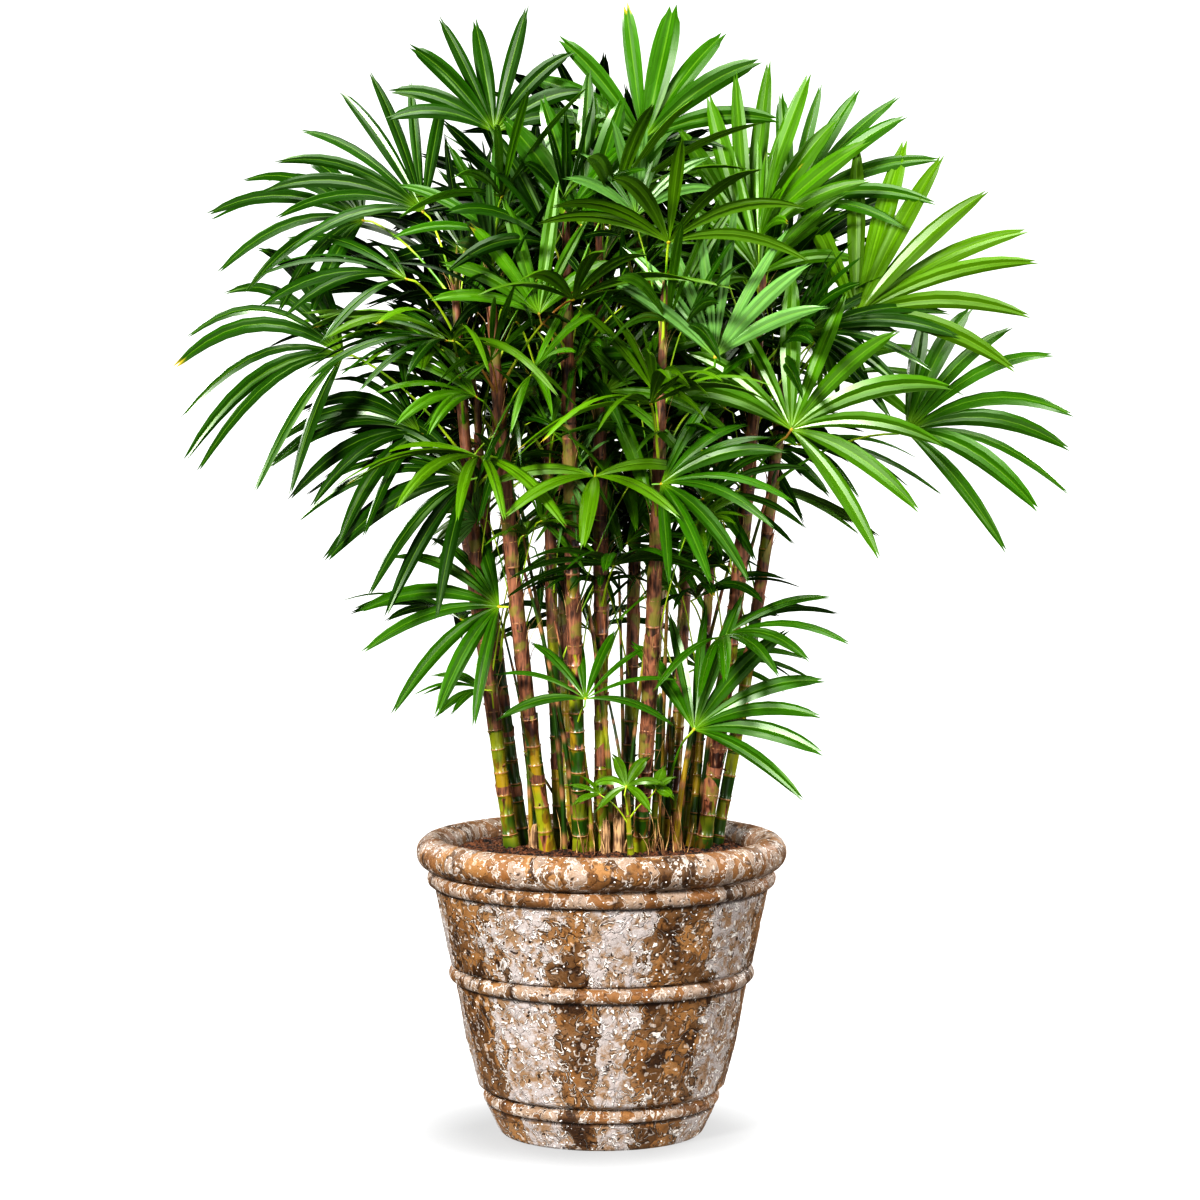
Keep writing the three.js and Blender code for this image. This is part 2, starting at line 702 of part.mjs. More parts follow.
for (const cane of leafyCanes) {
  const own = standing.filter(({ piece }) => piece === cane.crown);
  const solid = own.reduce((whole, leaf) => whole.add(leafSolid(leaf, leaf.kept)), cane.stem);
  addPiece(cane.crown, asGeometry(solid), COLOURS.leaf);
}

export default palm;
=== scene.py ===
import math

import bmesh
import bpy
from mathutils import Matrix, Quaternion, Vector
from mathutils.kdtree import KDTree


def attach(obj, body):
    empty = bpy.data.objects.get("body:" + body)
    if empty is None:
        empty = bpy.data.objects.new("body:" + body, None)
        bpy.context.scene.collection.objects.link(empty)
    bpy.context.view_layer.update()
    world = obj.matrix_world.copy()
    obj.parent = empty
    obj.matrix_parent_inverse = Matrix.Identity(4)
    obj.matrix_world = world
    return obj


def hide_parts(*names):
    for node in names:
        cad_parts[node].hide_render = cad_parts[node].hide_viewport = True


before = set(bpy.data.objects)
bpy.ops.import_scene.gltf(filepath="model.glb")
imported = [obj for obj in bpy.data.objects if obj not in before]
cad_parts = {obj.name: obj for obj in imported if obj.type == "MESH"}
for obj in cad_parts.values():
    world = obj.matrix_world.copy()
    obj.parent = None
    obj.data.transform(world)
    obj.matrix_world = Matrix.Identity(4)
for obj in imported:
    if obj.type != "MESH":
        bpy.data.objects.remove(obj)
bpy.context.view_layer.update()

# The plant is worked out in millimetres, as the frame's builder does. Meshes and materials are in metres.
metres = 0.001
up = Vector((0, 0, 1))


# One output socket. Arithmetic on it adds Math nodes to its tree.
class Wire:
    def __init__(self, bench, socket):
        self.bench = bench
        self.socket = socket

    def __add__(self, other):
        return self.bench.maths("ADD", self, other)

    def __sub__(self, other):
        return self.bench.maths("SUBTRACT", self, other)

    def __rsub__(self, other):
        return self.bench.maths("SUBTRACT", other, self)

    def __mul__(self, other):
        return self.bench.maths("MULTIPLY", self, other)

    def __gt__(self, other):
        return self.bench.maths("GREATER_THAN", self, other)

    def __abs__(self):
        return self.bench.maths("ABSOLUTE", self)

    __radd__ = __add__
    __rmul__ = __mul__


# Adds nodes to one tree, of a material or of geometry.
class Bench:
    def __init__(self, tree):
        self.tree = tree

    # Settings go in first, then the values or links of the sockets; a list is several links.
    def add(self, kind, settings=None, sockets=None, out=0):
        node = self.tree.nodes.new(kind)
        for name, value in (settings or {}).items():
            setattr(node, name, value)
        for key, value in (sockets or {}).items():
            target = findSocket(node.inputs, key)
            if isinstance(value, (Wire, list)):
                for wire in value if isinstance(value, list) else [value]:
                    self.tree.links.new(wire.socket, target)
            else:
                target.default_value = value
        return Wire(self, findSocket(node.outputs, out))

    def maths(self, operation, *values):
        return self.add("ShaderNodeMath", {"operation": operation}, dict(enumerate(values)))

    def most(self, first, second):
        return self.maths("MAXIMUM", first, second)

    def vector(self, operation, *values, out="Vector"):
        sockets = dict(enumerate(values))
        return self.add("ShaderNodeVectorMath", {"operation": operation}, sockets, out)

    def moved(self, where, by):
        return self.vector("ADD", where, by)

    def stretch(self, where, x, y, z):
        return self.vector("MULTIPLY", where, (x, y, z))

    def scaled(self, value, size):
        sockets = {0: value, "Scale": size}
        return self.add("ShaderNodeVectorMath", {"operation": "SCALE"}, sockets, "Vector")

    def part(self, value, axis):
        return self.add("ShaderNodeSeparateXYZ", None, {0: value}, axis)

    # 0 below the first value, 1 above the second, smooth between
    def step(self, value, low, high):
        sockets = {"Value": value, "From Min": low, "From Max": high}
        return self.add("ShaderNodeMapRange", {"interpolation_type": "SMOOTHSTEP"}, sockets)

    # 1 where the value is near 0 either way, fading out from the inner to the outer distance
    def near(self, value, inner, outer):
        return 1 - self.step(abs(value), inner, outer)

    def blend(self, share, first, second):
        sockets = {"Factor_Float": share, "A_Color": first, "B_Color": second}
        return self.add("ShaderNodeMix", {"data_type": "RGBA"}, sockets, "Result_Color")

    def noise(self, where, scale, detail=3.0, rough=0.5, twist=0.0, out="Fac"):
        sockets = {"Vector": where, "Scale": scale, "Detail": detail, "Roughness": rough,
                   "Distortion": twist}
        return self.add("ShaderNodeTexNoise", None, sockets, out)

    def cells(self, where, scale, feature="F1", out="Distance"):
        sockets = {"Vector": where, "Scale": scale}
        return self.add("ShaderNodeTexVoronoi", {"feature": feature}, sockets, out)

    def bump(self, height, strength, distance):
        sockets = {"Strength": strength, "Distance": distance, "Height": height}
        return self.add("ShaderNodeBump", None, sockets)

    # An attribute of the mesh, for a finish and then for a geometry tree
    def attribute(self, name):
        return self.add("ShaderNodeAttribute", {"attribute_name": name}, None, "Fac")

    def named(self, name, kind="FLOAT"):
        return self.add("GeometryNodeInputNamedAttribute", {"data_type": kind}, {"Name": name})

    # Moves the points of a mesh and shades it smooth
    def shifted(self, mesh, offset):
        mesh = self.add("GeometryNodeSetPosition", None, {"Geometry": mesh, "Offset": offset})
        return self.add("GeometryNodeSetShadeSmooth", None, {"Geometry": mesh})


def findSocket(sockets, key):
    if isinstance(key, int):
        return sockets[key]
    return next(socket for socket in sockets if key in (socket.identifier, socket.name))


# A screen colour, 0 to 255, as the linear colour that a shader wants
def paint(red, green, blue):
    def linear(value):
        value /= 255
        return value / 12.92 if value <= 0.04045 else ((value + 0.055) / 1.055) ** 2.4
    return (linear(red), linear(green), linear(blue), 1.0)


def grey(value):
    return (value, value, value, 1.0)


# A material with one Principled shader: fixed sets its sockets, and build gives what varies over the
# piece from its bench and the place
def makeMaterial(name, build, fixed=None):
    material = bpy.data.materials.new(name)
    material.use_nodes = True
    tree = material.node_tree
    shader = tree.nodes["Principled BSDF"]
    for key, value in (fixed or {}).items():
        shader.inputs[key].default_value = value
    bench = Bench(tree)
    where = bench.add("ShaderNodeTexCoord", None, None, "Object")
    for key, wire in build(bench, where).items():
        tree.links.new(wire.socket, shader.inputs[key])
    return material


# A geometry tree with named inputs, the last one its finish; build gets its bench and its inputs by
# name, and returns a geometry
def makeTree(name, inputs, build):
    tree = bpy.data.node_groups.new(name, "GeometryNodeTree")
    tree.interface.new_socket("Geometry", in_out="INPUT", socket_type="NodeSocketGeometry")
    for label, kind in {**inputs, "Finish": "Material"}.items():
        tree.interface.new_socket(label, in_out="INPUT", socket_type="NodeSocket" + kind)
    tree.interface.new_socket("Geometry", in_out="OUTPUT", socket_type="NodeSocketGeometry")
    bench = Bench(tree)
    entry = tree.nodes.new("NodeGroupInput")
    given = {socket.name: Wire(bench, socket) for socket in entry.outputs if socket.name}
    result = build(bench, given)
    realized = bench.add("GeometryNodeRealizeInstances", None, {"Geometry": result})
    finish = {"Geometry": realized, "Material": given["Finish"]}
    painted = bench.add("GeometryNodeSetMaterial", None, finish)
    tree.links.new(painted.socket, tree.nodes.new("NodeGroupOutput").inputs[0])
    return tree


# Runs a geometry tree on a piece and keeps the result as its plain mesh
def runTree(piece, tree, finish, values, sharpOver=None):
    values = {**values, "Finish": finish}
    modifier = piece.modifiers.new(tree.name, "NODES")
    modifier.node_group = tree
    for item in tree.interface.items_tree:
        if item.in_out == "INPUT" and item.name in values:
            modifier[item.identifier] = values[item.name]
    bpy.context.view_layer.update()
    evaluated = piece.evaluated_get(bpy.context.evaluated_depsgraph_get())
    mesh = bpy.data.meshes.new_from_object(evaluated)
    piece.modifiers.clear()
    rough = piece.data
    piece.data = mesh
    bpy.data.meshes.remove(rough)
    if sharpOver:
        mesh.set_sharp_from_angle(angle=math.radians(sharpOver))


def addObject(name, data):
    added = bpy.data.objects.new(name, data)
    bpy.context.scene.collection.objects.link(added)
    return added


def makePiece(name, points, edges=(), faces=()):
    mesh = bpy.data.meshes.new(name)
    mesh.from_pydata([Vector(point) * metres for point in points], edges, faces)
    return addObject(name, mesh)


# A piece from what a bmesh holds
def pieceFrom(shape, name):
    mesh = bpy.data.meshes.new(name)
    shape.to_mesh(mesh)
    shape.free()
    return addObject(name, mesh)


def addValues(piece, name, kind, values):
    attribute = piece.data.attributes.new(name, kind, "POINT")
    if kind == "FLOAT_VECTOR":
        attribute.data.foreach_set("vector", [part for value in values for part in value])
    else:
        attribute.data.foreach_set("value", values)


# Rides the piece on the frame and hides the nodes of the frame that it stands for
def settle(piece, nodes):
    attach(piece, "root")
    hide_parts(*nodes)


# Many lines, or single points, that one tree sweeps or scatters on; each stop holds its point and
# what the tree reads there
class Guides:
    def __init__(self):
        self.points, self.edges = [], []
        self.values = {}

    def line(self, stops):
        for count, stop in enumerate(stops):
            if count:
                self.edges.append((len(self.points) - 1, len(self.points)))
            self.points.append(stop["point"])
            for key, value in stop.items():
                if key != "point":
                    self.values.setdefault(key, []).append(value)

    # Size is across, across and along the aim, in millimetres
    def shape(self, point, aim, facing, size):
        self.line([{"point": point, "aim": aim, "facing": facing, "size": Vector(size) * metres}])

    # Runs the tree on the lines, which leaves a finished piece
    def piece(self, name, tree, finish, values, slot, nodes, sharpOver=None):
        piece = makePiece(name, self.points, self.edges)
        for key, numbers in self.values.items():
            kind = "FLOAT" if isinstance(numbers[0], (int, float)) else "FLOAT_VECTOR"
            addValues(piece, key, kind, numbers)
        runTree(piece, tree, finish, values, sharpOver)
        settle(piece, nodes)
        return piece


def mix(low, high, share):
    return low + (high - low) * share


def clamp(value, low, high):
    return max(low, min(high, value))


# The same draws as the frame's builder makes from a seed
def makeDraw(seed):
    state = [seed]

    def draw():
        state[0] = (state[0] * 1664525 + 1013904223) % 4294967296
        return state[0] / 4294967296
    return draw


def swing(draw, most):
    return mix(-1, 1, draw()) * most


# The level direction at an angle in radians
def bearing(angle):
    return Vector((math.cos(angle), math.sin(angle), 0))


def numbered(name, index):
    return f"{name}_{index:02d}"


# The frame's nodes of a name, for the canes, or stubs, that keep is true of
def nodesOf(name, owners, keep=lambda owner: True):
    return [numbered(name, count + 1) for count, owner in enumerate(owners) if keep(owner)]


# The plant's measures, in millimetres
potShape = {
    "footRadius": 162, "skirtRadius": 181, "skirtHeight": 42, "wall": 28, "floor": 30,
    "lowBand": {"outer": 187.5, "height": 57, "tube": 11},
    "middleBand": {"outer": 242, "height": 254, "tube": 12.5},
    "collar": {"outer": 276, "height": 405, "tube": 13},
    "bands": ("lowBand", "middleBand", "collar"),
    "rim": {"ringRadius": 267, "height": 446, "tube": 26},
    "lowerBody": [(195, 76), (215, 150), (230, 238)],
    "upperBody": [(239, 270), (264, 391)],
    "bandArc": (-84, 84, 12), "rimArc": (-78, 180, 26),  # from and to which degree, in how many steps
    "rimFrom": (415, 422),  # heights between which the wall's glaze gives way to the rim's
    "segments": 320,
    "step": 4,  # longest stretch of the outline between two rings
    "relief": 1.6,  # how far the rough surface stands in or out
}

soilShape = {
    "top": 448, "flatRadius": 208, "edgeDrop": 7, "depth": 60,
    "segments": 96, "rings": 34, "gap": 3,
    "heave": 7, "heaved": 12,  # how much it heaves, and how far down
    "crumbsPerSquareMetre": 24000, "smallest": 1.6, "largest": 6.4, "seed": 5,
    "dark": paint(20, 10, 4), "light": paint(110, 68, 40),
}

caneShape = {
    "taper": 0.16, "flare": 0.28, "flareHeight": 32, "curl": 0.5, "tipRadius": 5,
    "thin": 8,  # the radius under which a cane is a shoot, with short internodes and no cuffs
}


# One row of a table, by the names of its columns
def tableRow(columns, values, more):
    return {**dict(zip(columns, values)), **more}


# A cane by its foot, growing tip, foot radius, and hue between green, 0, and tan, 1. A leafy one then
# has the height where its leaves start, how many of them grow by rule, and where its sheaths start.
def stem(*values):
    return tableRow(("foot", "tip", "radius", "hue", "leafFrom", "leaves", "sheathFrom"), values, {})


canes = [
    stem((-142, 15), (-228, -30, 1330), 11.5, 0.5, 960, 2, 700),
    stem((-122, 46), (-196, 40, 1130), 9.5, 0.1, 940, 2, 800),
    stem((-98, 68), (-168, 150, 1300), 10, 0.3, 1010, 4, 760),
    stem((-84, -25), (-172, -110, 1370), 11.5, 0.6, 1070, 2, 690),
    stem((-66, 10), (-84, -30, 1180), 9.5, 0.1, 960, 3, 900),
    stem((-54, 92), (-66, 220, 1330), 10, 0.3, 1000, 4, 780),
    stem((-32, -40), (-54, -150, 1400), 12, 0.75, 1100, 2, 880),
    stem((1, -22), (-4, -60, 1400), 11, 0.3, 1020, 2, 930),
    stem((40, 34), (62, 70, 1450), 10, 0.5, 1100, 3, 740),
    stem((60, -46), (94, -170, 1290), 11.5, 0.85, 940, 2, 640),
    stem((112, 82), (150, 190, 1290), 10, 0.6, 960, 4, 700),
    stem((129, 52), (192, 90, 1180), 8, 0.4, 930, 3, 760),
    stem((160, 4), (248, -60, 1320), 12, 1.0, 1000, 1, 900),
    stem((182, 45), (292, 60, 1250), 10, 0.0, 1010, 2, 920),
    stem((-4, 104), (8, 270, 1360), 10, 0.4, 990, 5, 780),
    stem((62, 108), (116, 300, 1230), 9.5, 0.5, 930, 5, 740),
    stem((-134, 84), (-248, 230, 1210), 9.5, 0.3, 920, 5, 760),
    stem((80, -8), (92, -40, 700), 5.5, 0.0),
    stem((100, 14), (112, -10, 660), 5.5, 0.1),
    stem((142, 26), (166, 40, 790), 7, 0.0),
    stem((46, -86), (40, -92, 556), 4.5, 0.0),
]

stubs = [
    {"foot": (6, -64), "height": 62, "radius": 7},
    {"foot": (27, -62), "height": 84, "radius": 7.5},
    {"foot": (-108, -2), "height": 46, "radius": 6.5},
]

leafShape = {
    "outerShortening": 0.14, "neck": 14, "stalkBend": 0.36,
    "stalkDrop": 0.9, "leastDrop": 50,  # how far below its hub a placed leaf's stalk starts
    "overSoil": 40, "besideCrown": 15, "underTip": 12,  # and how far from the ends of the stem it keeps
    "sag": 0.17,  # how far a level leaflet's tip hangs, as a share of its length
}


# A leaf by its cane and its hub, where the leaflets meet. Heading and rise aim the middle leaflet,
# turn rolls the blade about it, spread is the angle from the first leaflet to the last, and reach is
# the longest one. Then come its look, a tone that is partly painted light and shade, and the number
# of its leaflets.
def fan(*values, **more):
    columns = ("cane", "hub", "heading", "rise", "turn", "spread", "reach", "look", "leaflets")
    return tableRow(columns, values, more)


# The rule's leaves make room for these as they stand in the frame; shown holds what is finer here.
crownLeaves = [
    fan(4, (-166, -60, 1573), 112, 62, 0, 150, 245, "dark", 9, width=1.25, blunt=0.4,
        shown={"rise": 80, "reach": 214}),
    fan(9, (65, -20, 1563), 86, 70, 0, 150, 245, "mid", 8, width=1.6, droop=0.3, blunt=0.8,
        shown={"rise": 76}),
    fan(13, (229, -30, 1402), 0, 75, 75, 95, 285, "fresh", 8, width=1.4, droop=0.3, blunt=0.4),
    fan(4, (-113, 40, 1428), 180, 60, -60, 110, 240, "deep", 8),
    fan(1, (-374, 10, 1440), 180, 6, -35, 150, 255, "dark", 10, arch=0.42),
    fan(1, (-278, -30, 1452), 180, 42, -50, 115, 270, "dark", 9, arch=0.4,
        shown={"turn": -66, "reach": 262}),
    fan(1, (-399, -80, 1228), 180, 0, -58, 142, 285, "dark", 10, arch=0.6, droop=1.1),
    fan(1, (-282, -50, 1106), 180, 0, -50, 130, 240, "dark", 10, arch=0.5, droop=1.1),
    fan(1, (-206, -100, 1036), 180, -14, -55, 120, 262, "dark", 10, arch=0.5, droop=0.9),
    fan(13, (289, -170, 1115), 0, 56, 72, 205, 262, "fresh", 10, width=1.4),
    fan(14, (476, -40, 1110), 0, 14, 58, 134, 285, "mid", 9, width=1.25, arch=0.45),
    fan(14, (395, -60, 1290), 0, 40, 60, 130, 296, "bright", 9, width=1.4, droop=0.3,
        shown={"rise": 46, "turn": 68, "reach": 300}),
    fan(13, (298, 20, 1460), 0, 45, 50, 115, 255, "mid", 8, width=1.25, droop=0.4),
    fan(10, (172, -160, 1225), 0, 88, 80, 120, 245, "pale", 8, width=0.95, droop=0.3, blunt=0.0,
        shown={"hub": (172, -190, 1225), "reach": 250}),
    fan(8, (-30, -104, 1425), 0, 86, 85, 90, 225, "mid", 5, width=1.7, droop=0.3, blunt=0.6,
        shown={"hub": (-30, -150, 1425), "spread": 76, "reach": 235}),
    fan(7, (-95, -160, 1290), 180, 75, -78, 130, 200, "fresh", 7, width=1.3, droop=0.5, blunt=0.6,
        shown={"hub": (-95, -190, 1290)}),
    fan(8, (-10, -210, 1045), -90, -28, 0, 205, 190, "bright", 5, width=1.4, droop=0.7),
    fan(10, (90, -220, 1034), -20, 4, 50, 150, 220, "mid", 9),
]

lowLeaves = [
    fan(2, (-160, -70, 838), 180, 2, -48, 155, 235, "mid", 9),
    fan(1, (-186, -46, 706), 190, 6, -25, 110, 105, "mid", 6, width=1.1),
    fan(7, (-25, -134, 700), -90, 32, 0, 190, 165, "mid", 8, width=0.95, droop=0.7,
        shown={"heading": 84, "rise": 52, "spread": 196}),
    fan(13, (187, -86, 792), -38, 12, 20, 190, 215, "mid", 10, width=1.15, droop=0.7),
    fan(19, (143, -108, 650), 0, 50, 60, 150, 240, "mid", 9, width=1.25, droop=0.5),
    fan(8, (18, -130, 905), -90, 16, 0, 190, 200, "mid", 9),
    fan(12, (150, 10, 846), -50, 20, 10, 150, 180, "dark", 8),
    fan(15, (-20, 240, 780), 100, 14, 0, 180, 215, "dark", 9),
    fan(16, (160, 210, 720), 60, 10, 0, 170, 200, "mid", 9),
    fan(17, (-230, 190, 800), 140, 12, 10, 180, 225, "dark", 9),
    fan(21, (38, -118, 562), -100, 24, 0, 200, 112, "bright", 6, width=1.3, droop=1.3,
        shown={"heading": 70, "rise": 58, "spread": 250, "reach": 68}),
]

# More leaves where the clump is thick
sideLeaves = [
    fan(1, (-300, -110, 1345), 180, 14, -22, 120, 245, "dark", 9, droop=0.9),
    fan(4, (-236, -170, 1250), 190, 4, -16, 130, 225, "dark", 9, droop=0.8),
    fan(4, (-190, -200, 1165), 200, 30, -40, 120, 190, "fresh", 7, width=1.2),
    fan(13, (316, -70, 1262), 0, 12, 40, 130, 235, "dark", 9),
]

# Small leaves on the smallest shoot, too fine for the frame
sprigs = [
    fan(21, (-2, -108, 548), 160, 30, -20, 130, 54, "bright", 4, width=1.2),
    fan(21, (84, -106, 556), 20, 52, 24, 160, 42, "bright", 4, width=1.2),
]

# The leaves that grow by rule, as in the frame, and then the finer ones between them
growth = {
    "seed": 20417, "tries": 14, "leaflets": 8, "stalk": (130, 250), "reach": (225, 268),
    "spread": (140, 178), "turn": (-22, 22), "lowRise": 8, "topRise": 66, "bladeDrop": 16, "room": 90,
    "centre": (25, 20, 1165), "half": (600, 590, 590),
    "firstShare": 0.15, "shareSpan": 0.7, "riseSpan": 16, "stalkRise": 12, "overCrownFoot": 20,
    "probed": (0.4, 0.7, 1),  # where along a leaflet its room is measured
    "crowdStep": 60,  # how far apart the points are that keep leaves off the leafy stems
    # the two changed leaves are painted lighter: painted light on leaves that stand in shade
    "changes": {10: {"look": "mid"}, 11: {"look": "fresh"}},  # how some differ, in the order they grow
}
# Leaves between the ones above, and small ones under the crown
fillGrowth = {
    **growth, "seed": 77003, "tries": 8, "stalk": (70, 200), "reach": (165, 240),
    "spread": (110, 200), "turn": (-70, 70), "lowRise": 14, "topRise": 92, "bladeDrop": 4, "room": 60,
    "centre": (10, 10, 1255), "half": (470, 450, 425), "leavesPerCane": 6,
    "ahead": (60, 120, 180),  # the air kept open in front of the listed leaves
}
underGrowth = {
    **growth, "seed": 31013, "tries": 5, "stalk": (120, 300), "reach": (95, 165),
    "spread": (90, 170), "turn": (-90, 90), "lowRise": 46, "topRise": 76, "bladeDrop": 36, "room": 50,
    "centre": (20, 0, 1000), "half": (270, 260, 215), "leavesPerCane": 3,
    "roots": (640, 1080),
}
goldenAngle = 137.508


# The middle line of a cane, which leans out early and straightens towards its tip
def caneAxis(cane, height):
    tipX, tipY, tipZ = cane["tip"]
    share = (height - soilShape["top"]) / (tipZ - soilShape["top"])
    lean = share * (1 + caneShape["curl"] * (1 - share))
    return Vector((mix(cane["foot"][0], tipX, lean), mix(cane["foot"][1], tipY, lean), height))


# The direction of a cane at a height
def caneWay(cane, height):
    return (caneAxis(cane, height + 20) - caneAxis(cane, height)).normalized()


# A cane tapers all the way up, flares at its foot and thins out faster inside its leafy top
def taperedRadius(cane, height, flare=0):
    share = (height - soilShape["top"]) / (cane["tip"][2] - soilShape["top"])
    return cane["radius"] * (1 - caneShape["taper"] * share + flare)


def caneRadius(cane, height):
    leafFrom = cane.get("leafFrom")
    if leafFrom and height > leafFrom:
        share = (height - leafFrom) / (cane["tip"][2] - leafFrom)
        return mix(taperedRadius(cane, leafFrom), caneShape["tipRadius"], share)
    above = height - soilShape["top"]
    return taperedRadius(cane, height, caneShape["flare"] * max(0, 1 - above / caneShape["flareHeight"]))


# A blade's own directions: along the middle leaflet, across the blade and out of it
def bladeFrame(heading, rise, turn):
    heading, rise, turn = (math.radians(value) for value in (heading, rise, turn))
    along = bearing(heading) * math.cos(rise) + up * math.sin(rise)
    level = Vector((-math.sin(heading), math.cos(heading), 0))
    across = level * math.cos(turn) + along.cross(level) * math.sin(turn)
    return along, across, along.cross(across)


def leafletAngle(leaf, index, leaflets):
    return math.radians(leaf["spread"]) * (index / (leaflets - 1) - 0.5)


def leafletLength(leaf, index, leaflets):
    outward = 2 * index / (leaflets - 1) - 1
    return leaf["reach"] * (1 - leafShape["outerShortening"] * outward * outward)


def leafletDirection(leaf, angle):
    along, across, _ = leaf["frame"]
    return along * math.cos(angle) + across * math.sin(angle)


# How much of a leaflet's weight pulls across it: 1 where it lies level, 0 where it stands
def levelShare(direction):
    return math.sqrt(max(0, 1 - direction.z * direction.z))


# The points round which a leaf needs room
def leafProbe(leaf):
    probe = [leaf["hub"], leaf["root"].lerp(leaf["hub"], 0.5)]
    for index in range(growth["leaflets"]):
        direction = leafletDirection(leaf, leafletAngle(leaf, index, growth["leaflets"]))
        length = leafletLength(leaf, index, growth["leaflets"])
        for share in growth["probed"]:
            point = leaf["hub"] + direction * (length * share)
            sag = leafShape["sag"] * length * levelShare(direction) * share * share
            probe.append(point - up * sag)
    return probe


# Each rule has an ellipsoid of its own to fill
def outsideCrown(point, rule):
    parts = [(point[axis] - rule["centre"][axis]) / rule["half"][axis] for axis in range(3)]
    return sum(part * part for part in parts) > 1


def searchTree(points):
    crowd = KDTree(len(points))
    for count, point in enumerate(points):
        crowd.insert(point, count)
    crowd.balance()
    return crowd


def roomFor(probe, crowd, rule):
    room = 0
    for point in probe:
        if outsideCrown(point, rule):
            room -= rule["room"]
        else:
            room += min(rule["room"], crowd.find(point)[2])
    return room


# Heights are shared out along the leafy stem, the lower leaves lean out and the upper ones stand
# up, and of several drawn headings the roomiest is kept.
def growLeaf(cane, order, leaves, draw, points, rule):
    crowd = searchTree(points)
    leafyPart = (cane["leafFrom"] + rule["overCrownFoot"], cane["tip"][2] - leafShape["underTip"])
    lowest, highest = rule.get("roots", leafyPart)
    best = None
    for _ in range(rule["tries"]):
        share = (order + rule["firstShare"] + rule["shareSpan"] * draw()) / leaves
        heading = order * goldenAngle + 360 * draw()
        rise = mix(rule["lowRise"], rule["topRise"], share) + rule["riseSpan"] * (draw() - 0.5)
        stalk, turn, spread, reach = (
            mix(*rule[key], draw()) for key in ("stalk", "turn", "spread", "reach"))
        root = caneAxis(cane, mix(lowest, highest, share))
        leaf = {
            "cane": canes.index(cane) + 1, "spread": spread, "reach": reach, "root": root,
            "frame": bladeFrame(heading, rise - rule["bladeDrop"], turn),
            "hub": root + bladeFrame(heading, rise + rule["stalkRise"], 0)[0] * stalk,
        }
        leaf["room"] = roomFor(leafProbe(leaf), crowd, rule)
        if best is None or leaf["room"] > best["room"]:
            best = leaf
    return best


# Sets a placed leaf on its cane: the stalk starts lower the further out the hub lies
def seatLeaf(placed, low):
    cane = canes[placed["cane"] - 1]
    crownFrom = cane.get("leafFrom", cane["tip"][2])
    if low:
        lowest, highest = soilShape["top"] + leafShape["overSoil"], crownFrom - leafShape["besideCrown"]
    else:
        lowest, highest = crownFrom + leafShape["besideCrown"], cane["tip"][2] - leafShape["underTip"]
    leaf = dict(placed, hub=Vector(placed["hub"]))
    leaf["frame"] = bladeFrame(leaf["heading"], leaf["rise"], leaf["turn"])
    beside = caneAxis(cane, leaf["hub"].z)
    off = math.hypot(leaf["hub"].x - beside.x, leaf["hub"].y - beside.y)
    drop = max(leafShape["leastDrop"], leafShape["stalkDrop"] * off)
    leaf["root"] = caneAxis(cane, clamp(leaf["hub"].z - drop, lowest, highest))
    return leaf


# The listed leaves, as the frame has them or as they are shown
def seatPlaced(shown):
    return [seatLeaf({**leaf, **(leaf.get("shown", {}) if shown else {})}, leaf in lowLeaves)
            for leaf in lowLeaves + crownLeaves]


# Round after round, each leafy cane grows one more leaf where the crowd leaves room
def growRound(leafy, leavesOf, rule, crowd):
    draw = makeDraw(rule["seed"])
    grown = []
    for order in range(max(leavesOf(cane) for cane in leafy)):
        for cane in leafy:
            if order < leavesOf(cane):
                leaf = growLeaf(cane, order, leavesOf(cane), draw, crowd, rule)
                crowd += leafProbe(leaf)
                grown.append(leaf)
    return grown


def growAll():
    leafy = [cane for cane in canes if "leafFrom" in cane]
    crowd = []
    for cane in leafy:
        steps = math.ceil((cane["tip"][2] - cane["leafFrom"]) / growth["crowdStep"])
        crowd += [caneAxis(cane, cane["leafFrom"] + growth["crowdStep"] * step) for step in range(steps)]
    for leaf in seatPlaced(False):
        crowd += leafProbe(leaf)
    grown = growRound(leafy, lambda cane: cane["leaves"], growth, crowd)
    for count, change in growth["changes"].items():
        grown[count].update(change)

    placed = seatPlaced(True)
    beside = [seatLeaf(leaf, False) for leaf in sideLeaves]
    for leaf in beside:
        crowd += leafProbe(leaf)
    for leaf in placed:
        for ahead in fillGrowth["ahead"]:
            crowd += [point - Vector((0, ahead, 0)) for point in leafProbe(leaf)]
    fillers = []
    for rule in (fillGrowth, underGrowth):
        fillers += growRound(leafy, lambda cane: rule["leavesPerCane"], rule, crowd)
    for leaf in fillers:
        leaf["filler"] = True
    return placed + grown + beside + fillers + [seatLeaf(leaf, True) for leaf in sprigs]


leaves = growAll()
print("leaves grown:", len(leaves))


